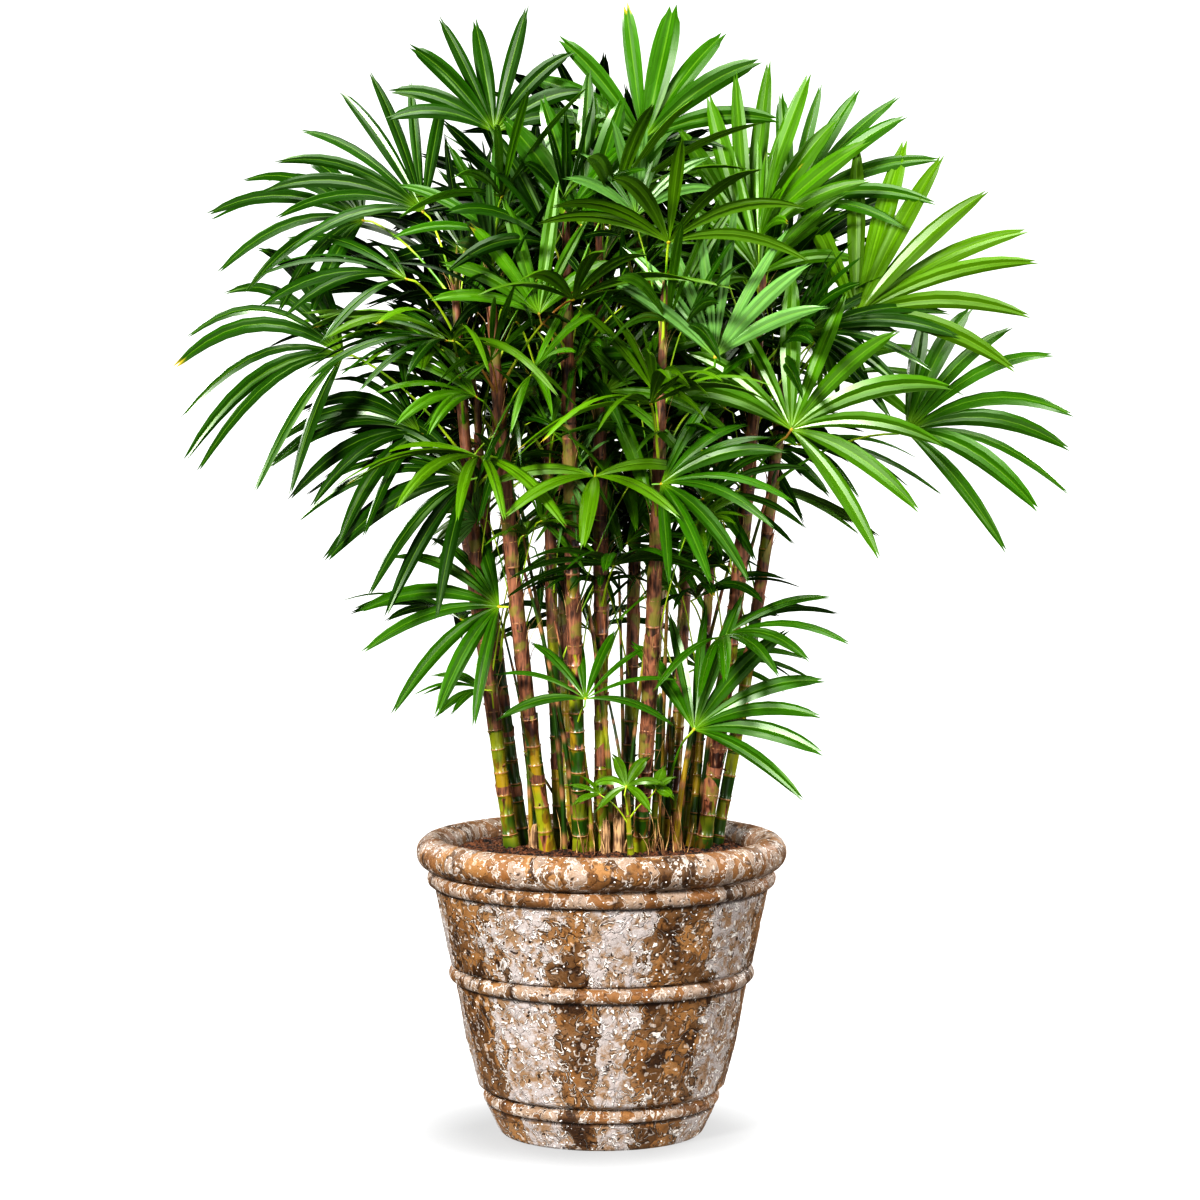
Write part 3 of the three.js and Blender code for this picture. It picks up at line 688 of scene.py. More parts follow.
# Sweeps a section along every guide line: "half" scales it and "facing" is the way of its first axis.
# The section object's x is along facing and its y across.
def sweepBuild(bench, given):
    curves = bench.add("GeometryNodeMeshToCurve", None, {"Mesh": given["Geometry"]})
    facing = bench.named("facing", "FLOAT_VECTOR")
    curves = bench.add("GeometryNodeSetCurveNormal", {"mode": "FREE"}, {"Curve": curves, "Normal": facing})
    shape = bench.add("GeometryNodeObjectInfo", None, {"Object": given["Section"]}, "Geometry")
    section = bench.add("GeometryNodeMeshToCurve", None, {"Mesh": shape})
    sockets = {"Curve": curves, "Profile Curve": section, "Scale": bench.named("half"), "Fill Caps": False}
    mesh = bench.add("GeometryNodeCurveToMesh", None, sockets)
    tooth = bench.named("tooth") * bench.named("end") * given["Tooth length"]
    teeth = bench.scaled(bench.named("aim", "FLOAT_VECTOR"), tooth)
    skin = bench.named("skin") * bench.named("closed") * bench.named("half")
    offset = bench.vector("ADD", teeth, bench.scaled(facing, skin))
    mesh = bench.add("GeometryNodeSetPosition", None, {"Geometry": mesh, "Offset": offset})
    mesh = bench.add("GeometryNodeMergeByDistance", None, {"Geometry": mesh, "Distance": given["Weld"]})
    return bench.add("GeometryNodeSetShadeSmooth", None, {"Geometry": mesh})


# Sweeps a round section and roughens it along its normals
def barkBuild(bench, given):
    curves = bench.add("GeometryNodeMeshToCurve", None, {"Mesh": given["Geometry"]})
    ring = {"Resolution": given["Sides"], "Radius": 1.0}
    circle = bench.add("GeometryNodeCurvePrimitiveCircle", None, ring)
    sockets = {"Curve": curves, "Profile Curve": circle, "Scale": bench.named("half"), "Fill Caps": True}
    mesh = bench.add("GeometryNodeCurveToMesh", None, sockets)
    place = bench.stretch(bench.add("GeometryNodeInputPosition"), 1, 1, 0.2)
    grain = bench.noise(place, given["Grain"], 2.0) - 0.5
    return bench.shifted(mesh, bench.scaled(bench.add("GeometryNodeInputNormal"), grain * given["Relief"]))


# Sets a shape on every point, turned so that its z is along "aim" and its x along "facing"
def scatterBuild(bench, given):
    axes = {"Primary Axis": bench.named("aim", "FLOAT_VECTOR"),
            "Secondary Axis": bench.named("facing", "FLOAT_VECTOR")}
    turn = bench.add("FunctionNodeAxesToRotation", {"primary_axis": "Z", "secondary_axis": "X"}, axes)
    shape = bench.add("GeometryNodeObjectInfo", None, {"Object": given["Shape"]}, "Geometry")
    size = bench.named("size", "FLOAT_VECTOR")
    sockets = {"Points": given["Geometry"], "Instance": shape, "Rotation": turn, "Scale": size}
    return bench.add("GeometryNodeInstanceOnPoints", None, sockets)


sweepTree = makeTree("sweepLeaflets", {"Section": "Object", "Tooth length": "Float", "Weld": "Float"},
                     sweepBuild)
barkTree = makeTree("sweepBark", {"Sides": "Int", "Grain": "Float", "Relief": "Float"}, barkBuild)
scatterTree = makeTree("scatterShapes", {"Shape": "Object"}, scatterBuild)


# What the bark tree takes from a piece's measures
def barkValues(shape):
    return {"Sides": shape["sides"], "Grain": shape["grain"], "Relief": shape["relief"] * metres}


# The leaflets, each a folded and toothed strip along a line of its own
leafletShape = {
    # place along the leaflet, and half width there of a slim and of a blunt one, in millimetres
    "outline": [(0.0, 1.4, 1.4), (0.06, 2.9, 2.8), (0.14, 5.6, 5.2), (0.24, 8.4, 7.6),
                (0.36, 10.6, 9.7), (0.48, 11.6, 11.0), (0.6, 11.4, 11.6), (0.72, 10.1, 11.4),
                (0.83, 7.9, 10.3), (0.92, 5.3, 8.4), (1.0, 2.8, 5.6)],
    # height and side of the corners of the folded section, how far each stands out at the tip, and
    # what closes the two skins there
    "section": [(-0.08, -1.0, -0.5, 0), (0.22, -0.52, 0.6, 0), (0.02, 0.0, -0.35, 0), (0.22, 0.5, 1.0, 0),
                (-0.08, 1.0, -0.6, 0), (0.15, 0.5, 1.0, 0.07), (-0.05, 0.0, -0.35, 0.07),
                (0.15, -0.52, 0.6, 0.07)],
    "toothLength": 11, "weld": 0.02, "crease": 30, "seed": 9157,
    "blunt": 0.34, "bluntSpan": 0.2, "width": 1.05, "widths": (0.76, 1.16), "lengths": (0.86, 1.0),
    "fullReach": 245, "slimmest": 0.6,  # a smaller leaf than full has slimmer leaflets, down to this
    "uneven": 4.5, "lift": 0.13, "roll": 28,  # degrees in the blade, slope out of it, degrees about itself
    # how a level leaflet bows up, hangs and bends to one side, as shares of its length
    "arch": 0.3, "sag": 0.19, "sagCurve": 2.3, "sideways": 0.04,
    "droop": (0.45, 1.1), "droops": (0.75, 1.2),  # how limp a whole leaf is, and each leaflet in it
    "leaflets": (6.6, 9.4), "yellowed": 0.003,
}

# Tones of the leaf green, partly its own and partly painted light and shade: deep and dark stand for leaves
# in the crown's shade, fresh and bright for lit ones, and pale carries a painted sheen; yellow is a yellowed
# leaflet's own colour
leafLooks = {
    "deep": {"colour": paint(12, 38, 1), "rough": 0.34, "shine": 0.24},
    "dark": {"colour": paint(31, 66, 3), "rough": 0.33, "shine": 0.28},
    "mid": {"colour": paint(48, 91, 3), "rough": 0.35, "shine": 0.34},
    "fresh": {"colour": paint(67, 110, 4), "rough": 0.37, "shine": 0.36},
    "bright": {"colour": paint(76, 113, 5), "rough": 0.38, "shine": 0.34},
    "pale": {"colour": paint(98, 140, 72), "rough": 0.28, "shine": 0.5},
    "yellow": {"colour": paint(196, 168, 30), "rough": 0.5, "shine": 0.3},
}
leafMarks = {
    "paintedSheen": paint(136, 164, 104), "rib": paint(120, 156, 48), "root": paint(120, 158, 30),
    "dry": paint(176, 150, 50), "darker": 0.5, "lighter": 1.45, "tint": (0.9, 1.0, 0.8, 1.0),
}
# A leaf that grew by rule is painted the lighter the further out and the further forward it is, and low
# down, and
# darker inside and behind the crown: painted light and shade
paintedLightRule = {
    "middle": (20, 20), "halfWidth": 400, "outsideFrom": 1150, "outsideHeight": 430, "depth": 460,
    "lowUnder": 1100, "outside": 0.3, "front": 0.66, "chance": 0.76, "usualChance": 0.46, "low": 0.14,
    "least": {"bright": 0.95, "pale": 0.84, "fresh": 0.68, "mid": 0.5, "dark": 0.34},
}


def leafFinish(look):
    def shaded(factor):
        return tuple(min(1, part * factor) for part in look["colour"][:3]) + (1.0,)

    # a leaflet is marked along and across itself, so the place on the object isn't used
    def build(bench, _):
        tone, along, side = (bench.attribute(name) for name in ("tone", "along", "side"))
        dark = shaded(leafMarks["darker"])
        place = bench.add("ShaderNodeCombineXYZ", None, {"X": side, "Y": along, "Z": tone * 70.0})
        mottle = bench.noise(bench.stretch(place, 0.8, 4.0, 1), 1.0, 2.0)
        veins = bench.noise(bench.stretch(place, 8.0, 0.7, 1), 1.0, 2.0)
        paintedSheen = bench.noise(bench.moved(bench.stretch(place, 1.6, 1.5, 1), (7, 3, 5)), 1.0, 1.0)
        base = bench.blend(tone * 0.5 + mottle * 0.5, dark, shaded(leafMarks["lighter"]))
        # darker lengthwise veins, partly the leaflet's own and partly painted shade within the fans
        base = bench.blend(bench.step(veins, 0.42, 0.66) * 0.5, base, dark)
        # a paler lengthwise streak on some leaflets: painted sheen
        base = bench.blend(bench.step(paintedSheen, 0.6, 0.8) * 0.35, base, leafMarks["paintedSheen"])
        base = bench.blend(bench.near(side, 0.03, 0.1) * 0.3, base, leafMarks["rib"])
        base = bench.blend((1 - bench.step(along, 0.02, 0.16)) * 0.5, base, leafMarks["root"])
        dry = bench.step(along, 0.95, 1.0) * bench.step(tone, 0.97, 0.98)
        base = bench.blend(dry * 0.8, base, leafMarks["dry"])
        return {"Base Color": base, "Roughness": mottle * 0.24 + (look["rough"] - 0.2)}
    return build


def leafletStops(leaf, index, leaflets, draw):
    angle = leafletAngle(leaf, index, leaflets) + math.radians(swing(draw, leafletShape["uneven"]))
    along, across, out = leaf["frame"]
    direction = leafletDirection(leaf, angle) + out * swing(draw, leafletShape["lift"])
    direction.normalize()
    sideways = across * math.cos(angle) - along * math.sin(angle)
    length = leafletLength(leaf, index, leaflets) * mix(*leafletShape["lengths"], draw())
    level = levelShare(direction)
    droop = leaf["droop"] * mix(*leafletShape["droops"], draw())
    bow = (draw() - 0.5) * 2 * leafletShape["sideways"] * length
    facing = Quaternion(direction, math.radians(swing(draw, leafletShape["roll"]))) @ out
    width = leaf.get("width", leafletShape["width"]) * mix(*leafletShape["widths"], draw())
    width *= leaf["widthShare"]
    tone = draw()
    bluntSpan = leafletShape["bluntSpan"]
    blunt = clamp(leaf.get("blunt", leafletShape["blunt"]) + mix(-bluntSpan, bluntSpan, tone), 0, 1)
    stops = []
    for share, slim, full in leafletShape["outline"]:
        lift = leaf.get("arch", leafletShape["arch"]) * share * (1 - share)
        lift -= leafletShape["sag"] * droop * share ** leafletShape["sagCurve"]
        point = leaf["hub"] + direction * (length * share) + sideways * (bow * share * share)
        stops.append({"point": point + up * (length * level * lift),
                      "half": mix(slim, full, blunt) * width * metres, "facing": facing, "aim": direction,
                      "end": 0.0, "closed": 0.0, "tone": tone, "along": share})
    for before, after in zip(stops, stops[1:]):
        after["aim"] = (after["point"] - before["point"]).normalized()
    stops[-1]["end"] = 1.0
    stops[0]["closed"] = stops[-1]["closed"] = 1.0
    return stops


# A leaf with a look keeps it; one that grew by rule gets a tone of painted light and shade from where its
# hub stands
def lookFor(leaf, draw):
    if leaf.get("look"):
        return leaf["look"]
    x, y, z = leaf["hub"]
    middleX, middleY = paintedLightRule["middle"]
    beside = math.hypot(x - middleX, y - middleY) / paintedLightRule["halfWidth"]
    above = (z - paintedLightRule["outsideFrom"]) / paintedLightRule["outsideHeight"]
    light = paintedLightRule["outside"] * clamp(max(beside, above), 0, 1)
    light += paintedLightRule["front"] * clamp(0.5 - y / paintedLightRule["depth"], 0, 1)
    light += paintedLightRule["chance"] * (draw() - paintedLightRule["usualChance"])
    light += paintedLightRule["low"] * (z < paintedLightRule["lowUnder"])
    return next((look for look, least in paintedLightRule["least"].items() if light > least), "deep")


# The section of a leaflet as a closed loop of edges, one metre in half width
def makeSection():
    corners = leafletShape["section"]
    points = [(height / metres, side / metres, 0) for height, side, _, _ in corners]
    edges = [(index, (index + 1) % len(corners)) for index in range(len(corners))]
    section = makePiece("leafletSection", points, edges)
    for column, name in ((2, "tooth"), (3, "skin"), (1, "side")):
        addValues(section, name, "FLOAT", [float(corner[column]) for corner in corners])
    return section


# The node that shows a leaf: the low ones have one each, and those on a leafy top share its own
def nodeOf(count, leaf):
    if count < len(lowLeaves):
        return numbered("frond", count + 1)
    if "leafFrom" in canes[leaf["cane"] - 1]:
        return numbered("crown", leaf["cane"])
    return numbered("frond", len(lowLeaves))


def makeLeaflets():
    draw = makeDraw(leafletShape["seed"])
    guides = {look: Guides() for look in leafLooks}
    nodes = {look: set() for look in leafLooks}
    for count, leaf in enumerate(leaves):
        look = lookFor(leaf, draw)
        leaflets = leaf.get("leaflets") or int(mix(*leafletShape["leaflets"], draw()))
        leaf["widthShare"] = clamp(leaf["reach"] / leafletShape["fullReach"], leafletShape["slimmest"], 1.0)
        leaf.setdefault("droop", mix(*leafletShape["droop"], draw()))
        leaf["node"] = nodeOf(count, leaf)
        for index in range(leaflets):
            chosen = "yellow" if leaf.get("filler") and draw() < leafletShape["yellowed"] else look
            guides[chosen].line(leafletStops(leaf, index, leaflets, draw))
            nodes[chosen].add(leaf["node"])
    section = makeSection()
    values = {"Section": section, "Tooth length": leafletShape["toothLength"] * metres,
              "Weld": leafletShape["weld"] * metres}
    # one piece and one material for each tone, the painted light and shade tones among them
    for look, finish in leafLooks.items():
        if not nodes[look]:
            continue
        material = makeMaterial(look + "Leaf", leafFinish(finish),
                                {"Specular IOR Level": finish["shine"], "Specular Tint": leafMarks["tint"]})
        piece = guides[look].piece("leaves_" + look, sweepTree, material, values, "leaf_blade",
                                   sorted(nodes[look]), leafletShape["crease"])
        print("leaves", look, len(piece.data.polygons), "faces")
    bpy.data.objects.remove(section)


makeLeaflets()


# The leaf stalks, and the hubs that their leaflets spring from
stalkShape = {
    "rootRadius": 3.6, "radius": 1.9, "thinning": 6, "stops": 10,
    "sides": 6, "grain": 60.0, "relief": 0.2, "crease": 60,
    "pastHub": 3, "hub": 3.8, "hubFlatness": (0.55, 0.8, 1),
    "green": paint(84, 140, 14), "lime": paint(172, 196, 44), "dry": paint(150, 110, 50),
    "hubGold": paint(210, 150, 30), "hubGreen": paint(130, 150, 30),
}


def stalkFinish(bench, where):
    tint = bench.noise(where, 14.0, 2.0)
    colour = bench.blend(bench.step(tint, 0.35, 0.6), stalkShape["green"], stalkShape["lime"])
    dry = bench.step(bench.noise(bench.moved(where, (3, 1, 2)), 5.0, 1.0), 0.62, 0.68)
    return {"Base Color": bench.blend(dry, colour, stalkShape["dry"]), "Roughness": tint * 0.2 + 0.35}


def hubFinish(bench, where):
    tint = bench.noise(where, 90.0, 2.0)
    return {"Base Color": bench.blend(tint, stalkShape["hubGold"], stalkShape["hubGreen"]),
            "Roughness": tint * 0.2 + 0.4}


# A stalk climbs from its cane and comes into the hub along the middle leaflet
def stalkStops(leaf):
    along = leaf["frame"][0]
    end = leaf["hub"] - along * leafShape["neck"]
    gap = (end - leaf["root"]).length
    bend = leaf["root"].lerp(end, 0.5) + up * (gap * leafShape["stalkBend"] * 0.5)
    points = []
    for count in range(stalkShape["stops"]):
        share = count / (stalkShape["stops"] - 1)
        points.append(leaf["root"] * (1 - share) ** 2 + bend * (2 * share * (1 - share)) + end * share ** 2)
    points.append(leaf["hub"] + along * stalkShape["pastHub"])
    stops = []
    for count, point in enumerate(points):
        left = 1 - count / (len(points) - 1)
        radius = mix(stalkShape["radius"], stalkShape["rootRadius"], left ** stalkShape["thinning"])
        stops.append({"point": point, "half": radius * leaf["widthShare"] * metres})
    return stops


# A ball of few faces, one metre in radius, that the scatter tree scales
def makeKnob():
    shape = bmesh.new()
    bmesh.ops.create_icosphere(shape, subdivisions=2, radius=1)
    knob = pieceFrom(shape, "knob")
    knob.data.shade_smooth()
    return knob


def makeStalks():
    nodes = sorted({leaf["node"] for leaf in leaves})
    stalks, hubs = Guides(), Guides()
    for leaf in leaves:
        stalks.line(stalkStops(leaf))
        along, _, out = leaf["frame"]
        size = stalkShape["hub"] * leaf["widthShare"]
        hubs.shape(leaf["hub"], along, out, [size * flatness for flatness in stalkShape["hubFlatness"]])
    stalks.piece("leaf_stalks", barkTree, makeMaterial("stalk", stalkFinish), barkValues(stalkShape),
                 "leaf_blade", nodes, stalkShape["crease"])
    knob = makeKnob()
    hubs.piece("leaf_hubs", scatterTree, makeMaterial("hub", hubFinish), {"Shape": knob},
               "leaf_blade", nodes, stalkShape["crease"])
    bpy.data.objects.remove(knob)
    print("stalks:", len(leaves))


makeStalks()


# The bark of the canes, ringed with the scars of old leaves
barkShape = {
    "internode": (26, 46), "shootInternode": 0.8, "seed": 411,
    "under": 12, "underTip": 6, "tipRadius": 2,  # where the bark starts in the soil, and how it closes
    "sides": 14, "grain": 220.0, "relief": 0.9, "crease": 50, "shine": 0.45,
    "sheathFade": 220,  # over how much height the husk takes over from the bark
    # place within the internode, share of the radius, how much of the scar's colour
    "stops": [(0.0, 1.0, 0.1), (0.035, 1.08, 1.0), (0.075, 1.05, 0.7), (0.12, 0.965, 0.0), (0.4, 0.985, 0.0),
              (0.9, 1.01, 0.0)],
}
# The bark's colours; streak is a pale pink that is partly the bark's own and partly painted highlight
barkColours = {
    "deepGreen": paint(38, 72, 8), "yellowGreen": paint(136, 140, 28), "gold": paint(166, 132, 32),
    "rust": paint(108, 62, 18), "darkTan": paint(72, 40, 28), "tan": paint(146, 94, 68),
    "spot": paint(50, 24, 14), "streak": paint(196, 146, 110), "darkHusk": paint(50, 27, 19),
    "husk": paint(140, 92, 66), "huskSpot": paint(44, 20, 14), "olive": paint(132, 134, 34),
    "darkScar": paint(118, 62, 40), "scar": paint(204, 156, 110), "crack": paint(36, 26, 10),
}


# Green or gold low down, tan where the bark is worn, and brown husk where the sheaths begin; hue
# tells how early a cane turns
def caneFinish(hue):
    def build(bench, where):
        scar, old, tint = (bench.attribute(name) for name in ("scar", "old", "tint"))
        other = bench.maths("FRACT", tint * 5.0)
        height = bench.part(where, "Z")
        streak = bench.noise(bench.stretch(where, 1, 1, 0.12), 180.0, 3.0)
        moved = bench.moved(bench.stretch(where, 1, 1, 0.36), (hue * 7, 0, 0))
        patch = bench.noise(moved, 38.0, 2.0, 0.5, 0.4)
        broad = bench.noise(bench.stretch(where, 1, 1, 0.5), 15.0, 2.0)
        spots = bench.noise(bench.stretch(where, 1, 1, 0.5), 60.0, 3.0)

        # one layer after another: how much of it shows, then its colour
        def layers(colour, *above):
            for share, name in above:
                colour = bench.blend(share, colour, barkColours[name])
            return colour

        fresh = bench.step(broad + (other - 0.5) * 0.24, 0.42, 0.64)
        gold = bench.noise(bench.moved(moved, (0, 3, 0)), 24.0, 1.0) + (other - 0.5) * 0.1
        green = layers(bench.blend(fresh, barkColours["deepGreen"], barkColours["yellowGreen"]),
                       (bench.step(gold, 0.55, 0.65) * 0.7, "gold"),
                       (bench.step(spots, 0.57, 0.63) * 0.6, "rust"))
        fibre = streak * 0.5 + broad * 0.5
        # worn tan bark with dark spots and pale streaks, the streaks partly painted highlight
        tan = layers(bench.blend(bench.step(fibre, 0.44, 0.56), barkColours["darkTan"], barkColours["tan"]),
                     (bench.step(spots, 0.52, 0.6) * 0.85, "spot"),
                     (bench.step(streak, 0.58, 0.66) * 0.5, "streak"))
        worn = patch + (hue - 0.5) * 0.36 + old * 0.3 + (tint - 0.5) * 0.3 + (height - 0.86) * 0.5
        colour = bench.blend(bench.step(worn, 0.5, 0.54), green, tan)
        husk = layers(bench.blend(bench.step(fibre, 0.4, 0.6), barkColours["darkHusk"], barkColours["husk"]),
                      (bench.step(spots, 0.5, 0.6) * 0.6, "huskSpot"),
                      (bench.step(patch, 0.52, 0.58) * 0.8, "olive"))
        colour = bench.blend(bench.step(old + (patch - 0.5) * 0.9, 0.5, 0.56), colour, husk)
        ring = bench.blend(patch, barkColours["darkScar"], barkColours["scar"])
        colour = bench.blend(bench.step(scar, 0.35, 0.9) * 0.85, colour, ring)
        colour = layers(colour, (bench.step(streak, 0.5, 0.36) * 0.4, "crack"))
        return {"Base Color": colour, "Roughness": old * 0.2 + 0.32,
                "Normal": bench.bump(streak * 0.6 + patch * 0.4, 0.3, 0.0008)}
    return build


def caneStops(cane, draw):
    top = cane["tip"][2] - barkShape["underTip"]
    height = soilShape["top"] - barkShape["under"]
    sheathFrom = cane.get("sheathFrom", math.inf)
    stops = []
    while height < top:
        shorter = barkShape["shootInternode"] if cane["radius"] < caneShape["thin"] else 1
        internode = mix(*barkShape["internode"], draw()) * shorter
        tint = draw()
        for place, share, scar in barkShape["stops"]:
            level = min(height + place * internode, top)
            radius = caneRadius(cane, max(level, soilShape["top"])) * share
            old = clamp((level - sheathFrom) / barkShape["sheathFade"] + 0.5, 0, 1)
            stops.append({"point": caneAxis(cane, level), "half": radius * metres, "scar": scar, "old": old,
                          "tint": tint})
        height += internode
    last = dict(stops[-1], point=caneAxis(cane, cane["tip"][2]), half=barkShape["tipRadius"] * metres)
    return [stop for stop in stops if stop["point"].z < top - 1] + [last]


def makeCanes():
    draw = makeDraw(barkShape["seed"])
    for count, cane in enumerate(canes):
        guides = Guides()
        guides.line(caneStops(cane, draw))
        fixed = {"Specular IOR Level": barkShape["shine"]}
        material = makeMaterial(numbered("cane", count + 1), caneFinish(cane["hue"]), fixed)
        nodes = [numbered("cane", count + 1)]
        if "leafFrom" in cane:
            nodes.append(numbered("crown", count + 1))
        guides.piece(numbered("cane_bark", count + 1), barkTree, material, barkValues(barkShape),
                     "cane_bark", nodes, barkShape["crease"])
    print("canes:", len(canes))


makeCanes()


# Brown sheaths on the upper canes, threads torn off them, and thorns lower down
sheathShape = {
    "around": 8, "up": 2, "seed": 90210,
    "wrap": 1.06, "flare": 0.22, "thick": 0.07,  # as shares of the cane's radius
    "length": (74, 120), "backHeight": 0.42, "point": 6,  # the lip's back, and how narrow its point is
    "pitch": 46, "pitches": (0.8, 1.2), "turn": 180, "turnSpan": 40,
    "below": 160,  # how far under sheathFrom the last torn ones still hang on
    "underTip": 60,
    "husk": paint(50, 26, 17), "pale": paint(152, 101, 72), "green": paint(118, 122, 36),
}
fibreShape = {
    "perSheath": 3, "sideSpan": 2, "length": (24, 70), "from": (0.2, 0.75),
    "sunk": 0.95, "lean": (0.15, 0.6), "peel": 1.6, "curl": (-0.5, 0.3), "radius": (0.75, 0.2),
    "stops": 5, "sides": 3, "grain": 60.0, "relief": 0.0,
    "brown": paint(120, 82, 48), "straw": paint(206, 172, 116),
}
spurShape = {
    "overSoil": 40, "underSheaths": 20, "pitch": 46, "pitches": (0.75, 1.25), "seed": 606,
    "length": (5, 11), "thick": 2.2, "sides": 5, "lean": (0.4, 2.0), "hook": 0.4, "sunk": 0.9,
    "torn": 0.4, "tornLength": (16, 42),  # how many of them have a torn cuff beside them, and its length
}


# A thin cuff of radius 1 and height 1, closed all over, with a pointed lip on its +X side
def makeCuff():
    around, rows = sheathShape["around"], sheathShape["up"]
    points = []
    for thick in (0, sheathShape["thick"]):
        for row in range(rows + 1):
            for step in range(around):
                angle = 2 * math.pi * step / around
                lip = mix(sheathShape["backHeight"], 1, abs(math.cos(angle / 2)) ** sheathShape["point"])
                rise = row / rows * lip
                radius = 1 + sheathShape["flare"] * rise ** 2 - thick
                place = (radius * math.cos(angle), radius * math.sin(angle), rise)
                points.append([part / metres for part in place])
    inner, top = around * (rows + 1), around * rows
    faces = []
    for step in range(around):
        after = (step + 1) % around
        for low in range(0, top, around):
            high = low + around
            faces.append((low + step, low + after, high + after, high + step))
            faces.append((inner + high + step, inner + high + after,
                          inner + low + after, inner + low + step))
        faces.append((after, step, inner + step, inner + after))
        faces.append((top + step, top + after, inner + top + after, inner + top + step))
    cuff = makePiece("cuff", points, (), faces)
    cuff.data.shade_smooth()
    for edge in cuff.data.edges:
        rims = {index % inner // around for index in edge.vertices}
        edge.use_edge_sharp = rims in ({0}, {rows})
    return cuff


# A thorn of height 1 and radius 1 that leans on one side of its foot
def makeThorn():
    sides = spurShape["sides"]
    angles = [2 * math.pi * step / sides for step in range(sides)]
    points = [(math.cos(angle) / metres, math.sin(angle) / metres, 0) for angle in angles]
    points.append((-spurShape["hook"] / metres, 0, 1 / metres))
    faces = [(step, (step + 1) % sides, sides) for step in range(sides)] + [tuple(reversed(range(sides)))]
    thorn = makePiece("thorn", points, (), faces)
    thorn.data.shade_smooth()
    return thorn


def sheathFinish(bench, where):
    grain = bench.noise(bench.stretch(where, 1, 1, 0.1), 260.0, 3.0)
    broad = bench.noise(where, 30.0, 3.0)
    worn = bench.step(grain * 0.6 + broad * 0.4, 0.34, 0.66)
    colour = bench.blend(worn, sheathShape["husk"], sheathShape["pale"])
    green = bench.step(bench.noise(bench.moved(where, (5, 5, 5)), 28.0, 2.0), 0.54, 0.62)
    return {"Base Color": bench.blend(green * 0.6, colour, sheathShape["green"]),
            "Roughness": broad * 0.2 + 0.42, "Normal": bench.bump(grain, 0.35, 0.0008)}


def fibreFinish(bench, where):
    tint = bench.noise(where, 24.0, 2.0)
    return {"Base Color": bench.blend(bench.step(tint, 0.4, 0.6), fibreShape["brown"], fibreShape["straw"]),
            "Roughness": tint * 0.2 + 0.6}


# A thread that peels off a sheath's lip
def fibreStops(cane, height, length, angle, radius, draw):
    reach = mix(*fibreShape["length"], draw())
    start = caneAxis(cane, height + length * mix(*fibreShape["from"], draw()))
    lean = mix(*fibreShape["lean"], draw())
    curl = mix(*fibreShape["curl"], draw())
    stops = []
    for count in range(fibreShape["stops"]):
        share = count / (fibreShape["stops"] - 1)
        out = bearing(angle) * (radius * fibreShape["sunk"] + reach * lean * share ** fibreShape["peel"])
        point = start + out + up * (reach * (share + curl * share * share))
        stops.append({"point": point, "half": mix(*fibreShape["radius"], share) * metres})
    return stops


# Thorns where old leaves broke off, and short torn cuffs round the nodes of the lower canes
def addSpurs(spurs, cuffs):
    draw = makeDraw(spurShape["seed"])
    for cane in canes:
        height = soilShape["top"] + spurShape["overSoil"]
        while height < cane.get("sheathFrom", cane["tip"][2]) - spurShape["underSheaths"]:
            height += spurShape["pitch"] * mix(*spurShape["pitches"], draw())
            outward = bearing(2 * math.pi * draw())
            radius = caneRadius(cane, height)
            length = mix(*spurShape["length"], draw())
            if height > cane["tip"][2] - spurShape["underSheaths"]:
                continue
            aim = (outward + up * mix(*spurShape["lean"], draw())).normalized()
            spurs.shape(caneAxis(cane, height) + outward * (radius * spurShape["sunk"]), aim, up,
                        (spurShape["thick"], spurShape["thick"], length))
            if draw() < spurShape["torn"] and cane["radius"] > caneShape["thin"]:
                wrap = radius * sheathShape["wrap"]
                cuffs.shape(caneAxis(cane, height), caneWay(cane, height), outward,
                            (wrap, wrap, mix(*spurShape["tornLength"], draw())))


# Sheaths by turns on one side and the other, sparser below, each with a few fibres
def addSheaths(cuffs, fibres):
    draw = makeDraw(sheathShape["seed"])
    for cane in canes:
        if "sheathFrom" not in cane:
            continue
        height = cane["sheathFrom"] - sheathShape["below"]
        turn = 360 * draw()
        while height < cane["tip"][2] - sheathShape["underTip"]:
            height += sheathShape["pitch"] * mix(*sheathShape["pitches"], draw())
            turn += sheathShape["turn"] + sheathShape["turnSpan"] * (draw() - 0.5)
            length = mix(*sheathShape["length"], draw())
            missing = clamp((cane["sheathFrom"] - height) / sheathShape["below"], 0, 1)
            if draw() < missing:
                continue
            angle = math.radians(turn)
            wrap = caneRadius(cane, height) * sheathShape["wrap"]
            cuffs.shape(caneAxis(cane, height), caneWay(cane, height), bearing(angle), (wrap, wrap, length))
            for _ in range(fibreShape["perSheath"]):
                side = angle + fibreShape["sideSpan"] * (draw() - 0.5)
                fibres.line(fibreStops(cane, height, length, side, wrap, draw))


def makeSheaths():
    spurs, cuffs, fibres = Guides(), Guides(), Guides()
    addSpurs(spurs, cuffs)
    addSheaths(cuffs, fibres)
    nodes = nodesOf("crown", canes, lambda cane: "leafFrom" in cane)
    nodes += nodesOf("cane", canes, lambda cane: cane["radius"] > caneShape["thin"])
    thorn, cuff = makeThorn(), makeCuff()
    spurs.piece("cane_spurs", scatterTree, makeMaterial("spur", sheathFinish), {"Shape": thorn},
                "cane_bark", nodesOf("cane", canes))
    cuffs.piece("cane_sheaths", scatterTree, makeMaterial("sheath", sheathFinish), {"Shape": cuff},
                "cane_bark", nodes)
    fibres.piece("cane_fibres", barkTree, makeMaterial("fibre", fibreFinish), barkValues(fibreShape),
                 "dry_husk", nodes)
    for helper in (thorn, cuff):
        bpy.data.objects.remove(helper)
    print("spurs:", len(spurs.points), "sheaths:", len(cuffs.points), "fibres:",
          len(fibres.points) // fibreShape["stops"])


makeSheaths()


